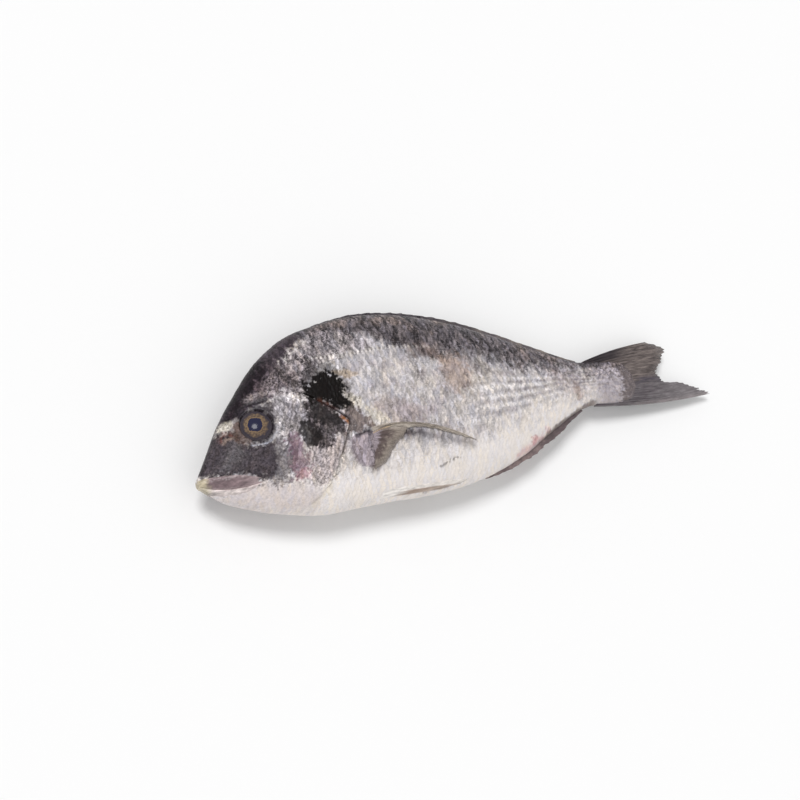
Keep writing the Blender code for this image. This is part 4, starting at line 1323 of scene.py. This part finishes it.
breast = ray_fan(BREAST_ROOTS, BREAST_TIPS, 14, 90, lambda s: 5.2 * (1 - s) ** 1.5, 5)
belly = ray_fan(BELLY_ROOTS, BELLY_TIPS, 6, 90, lambda s: 0 * s, 6)
# Two colours of the blade, then two of the web: the web's root colour is the brown of the folded rays
# with painted shade from the blade
BREAST_COLOURS = ((124, 114, 108), (196, 186, 174), (94, 82, 80), (146, 135, 126))
BELLY_COLOURS = ((222, 214, 208), (232, 226, 220), (160, 140, 128), (184, 168, 156))
for side in (1, -1):
    make_flank_fin(breast, 1.9, BREAST_COLOURS, (0.36, 0.40, "mauve"), side)
    make_flank_fin(belly, 0.35, BELLY_COLOURS, (0.42, -1.0, "belly"), side)

# %% [markdown]
# ## Table, light and camera
#
# The fish lies on a plain white table under soft daylight from behind its back, so that its shadow
# falls on the belly side. The camera looks down on the flank, leans towards the head, and is rolled a
# little, as a photographer would hold it.

# %% Table and lights
def build_table():
    """A white, slightly rough table top."""
    paint, tree, shader = new_material("table_top")
    shader.inputs["Base Color"].default_value = (0.9, 0.9, 0.9, 1.0)
    shader.inputs["Roughness"].default_value = 0.8
    shader.inputs["Specular IOR Level"].default_value = 0.2
    bpy.ops.mesh.primitive_plane_add(size=6.0, location=(0.0, 0.0, -0.0002))
    top = bpy.context.object
    top.name = "table_top"
    top.data.materials.append(paint)
    return top


def add_sun(name, direction, strength, angle):
    """Soft daylight from a direction; the angle is how wide the source looks, in degrees."""
    data = bpy.data.lights.new(name, "SUN")
    data.energy = strength
    data.angle = np.radians(angle)
    lamp = bpy.data.objects.new(name, data)
    lamp.rotation_euler = Vector(direction).to_track_quat("Z", "Y").to_euler()
    bpy.context.scene.collection.objects.link(lamp)
    return lamp


build_table()
add_sun("window_light", (-0.30, 0.40, 0.87), 1.7, 20.0)
add_sun("front_light", (-0.25, -0.75, 0.75), 0.3, 70.0)
world = bpy.data.worlds.new("studio")
bpy.context.scene.world = world
world.use_nodes = True
world.node_tree.nodes["Background"].inputs[0].default_value = (1.0, 1.0, 1.0, 1.0)
world.node_tree.nodes["Background"].inputs[1].default_value = 0.56
bpy.context.scene.view_settings.view_transform = "Standard"
print("lights: window, front and a white room")

# %% Camera
VIEW_YAW = 27.45
VIEW_PITCH = 8.04
VIEW_ROLL = -15.43
VIEW_DISTANCE = 923.3
LENS = 86.07
AIM = (120.0, 0.0, 0.0)
AIM_SHIFT = (-9.76, 2.67)


def place_camera():
    """Looks at the middle of the body along a direction measured from the flank's normal."""
    yaw, pitch, roll = np.radians([VIEW_YAW, VIEW_PITCH, VIEW_ROLL])
    back = np.array([-np.sin(yaw) * np.cos(pitch), -np.sin(pitch), np.cos(yaw) * np.cos(pitch)])
    up = unit(np.array([0.0, 1.0, 0.0]) - back * back[1])
    right = np.cross(up, back)
    right, up = right * np.cos(roll) + up * np.sin(roll), up * np.cos(roll) - right * np.sin(roll)
    eye = np.array(AIM) + back * VIEW_DISTANCE
    target = np.array(AIM) + AIM_SHIFT[0] * right + AIM_SHIFT[1] * up
    back = unit(eye - target)
    right = unit(np.cross(up, back))
    up = np.cross(back, right)
    data = bpy.data.cameras.new("camera")
    data.lens = LENS
    data.clip_start = 0.01
    camera = bpy.data.objects.new("camera", data)
    spot = (eye + np.array([-FISH_MIDDLE[0], -FISH_MIDDLE[1], REST_HEIGHT])) * MM
    turn = Matrix([[right[i], up[i], back[i]] for i in range(3)]).to_4x4()
    camera.matrix_world = Matrix.Translation(Vector(spot)) @ turn
    bpy.context.scene.collection.objects.link(camera)
    bpy.context.scene.camera = camera
    return camera


print("camera at, m:", [round(v, 3) for v in place_camera().location])

# %% [markdown]
# ## Finish
#
# The dressed fish must keep the solid's size. At the end the scene is brought up to date.

# %% Finish
bpy.context.view_layer.update()
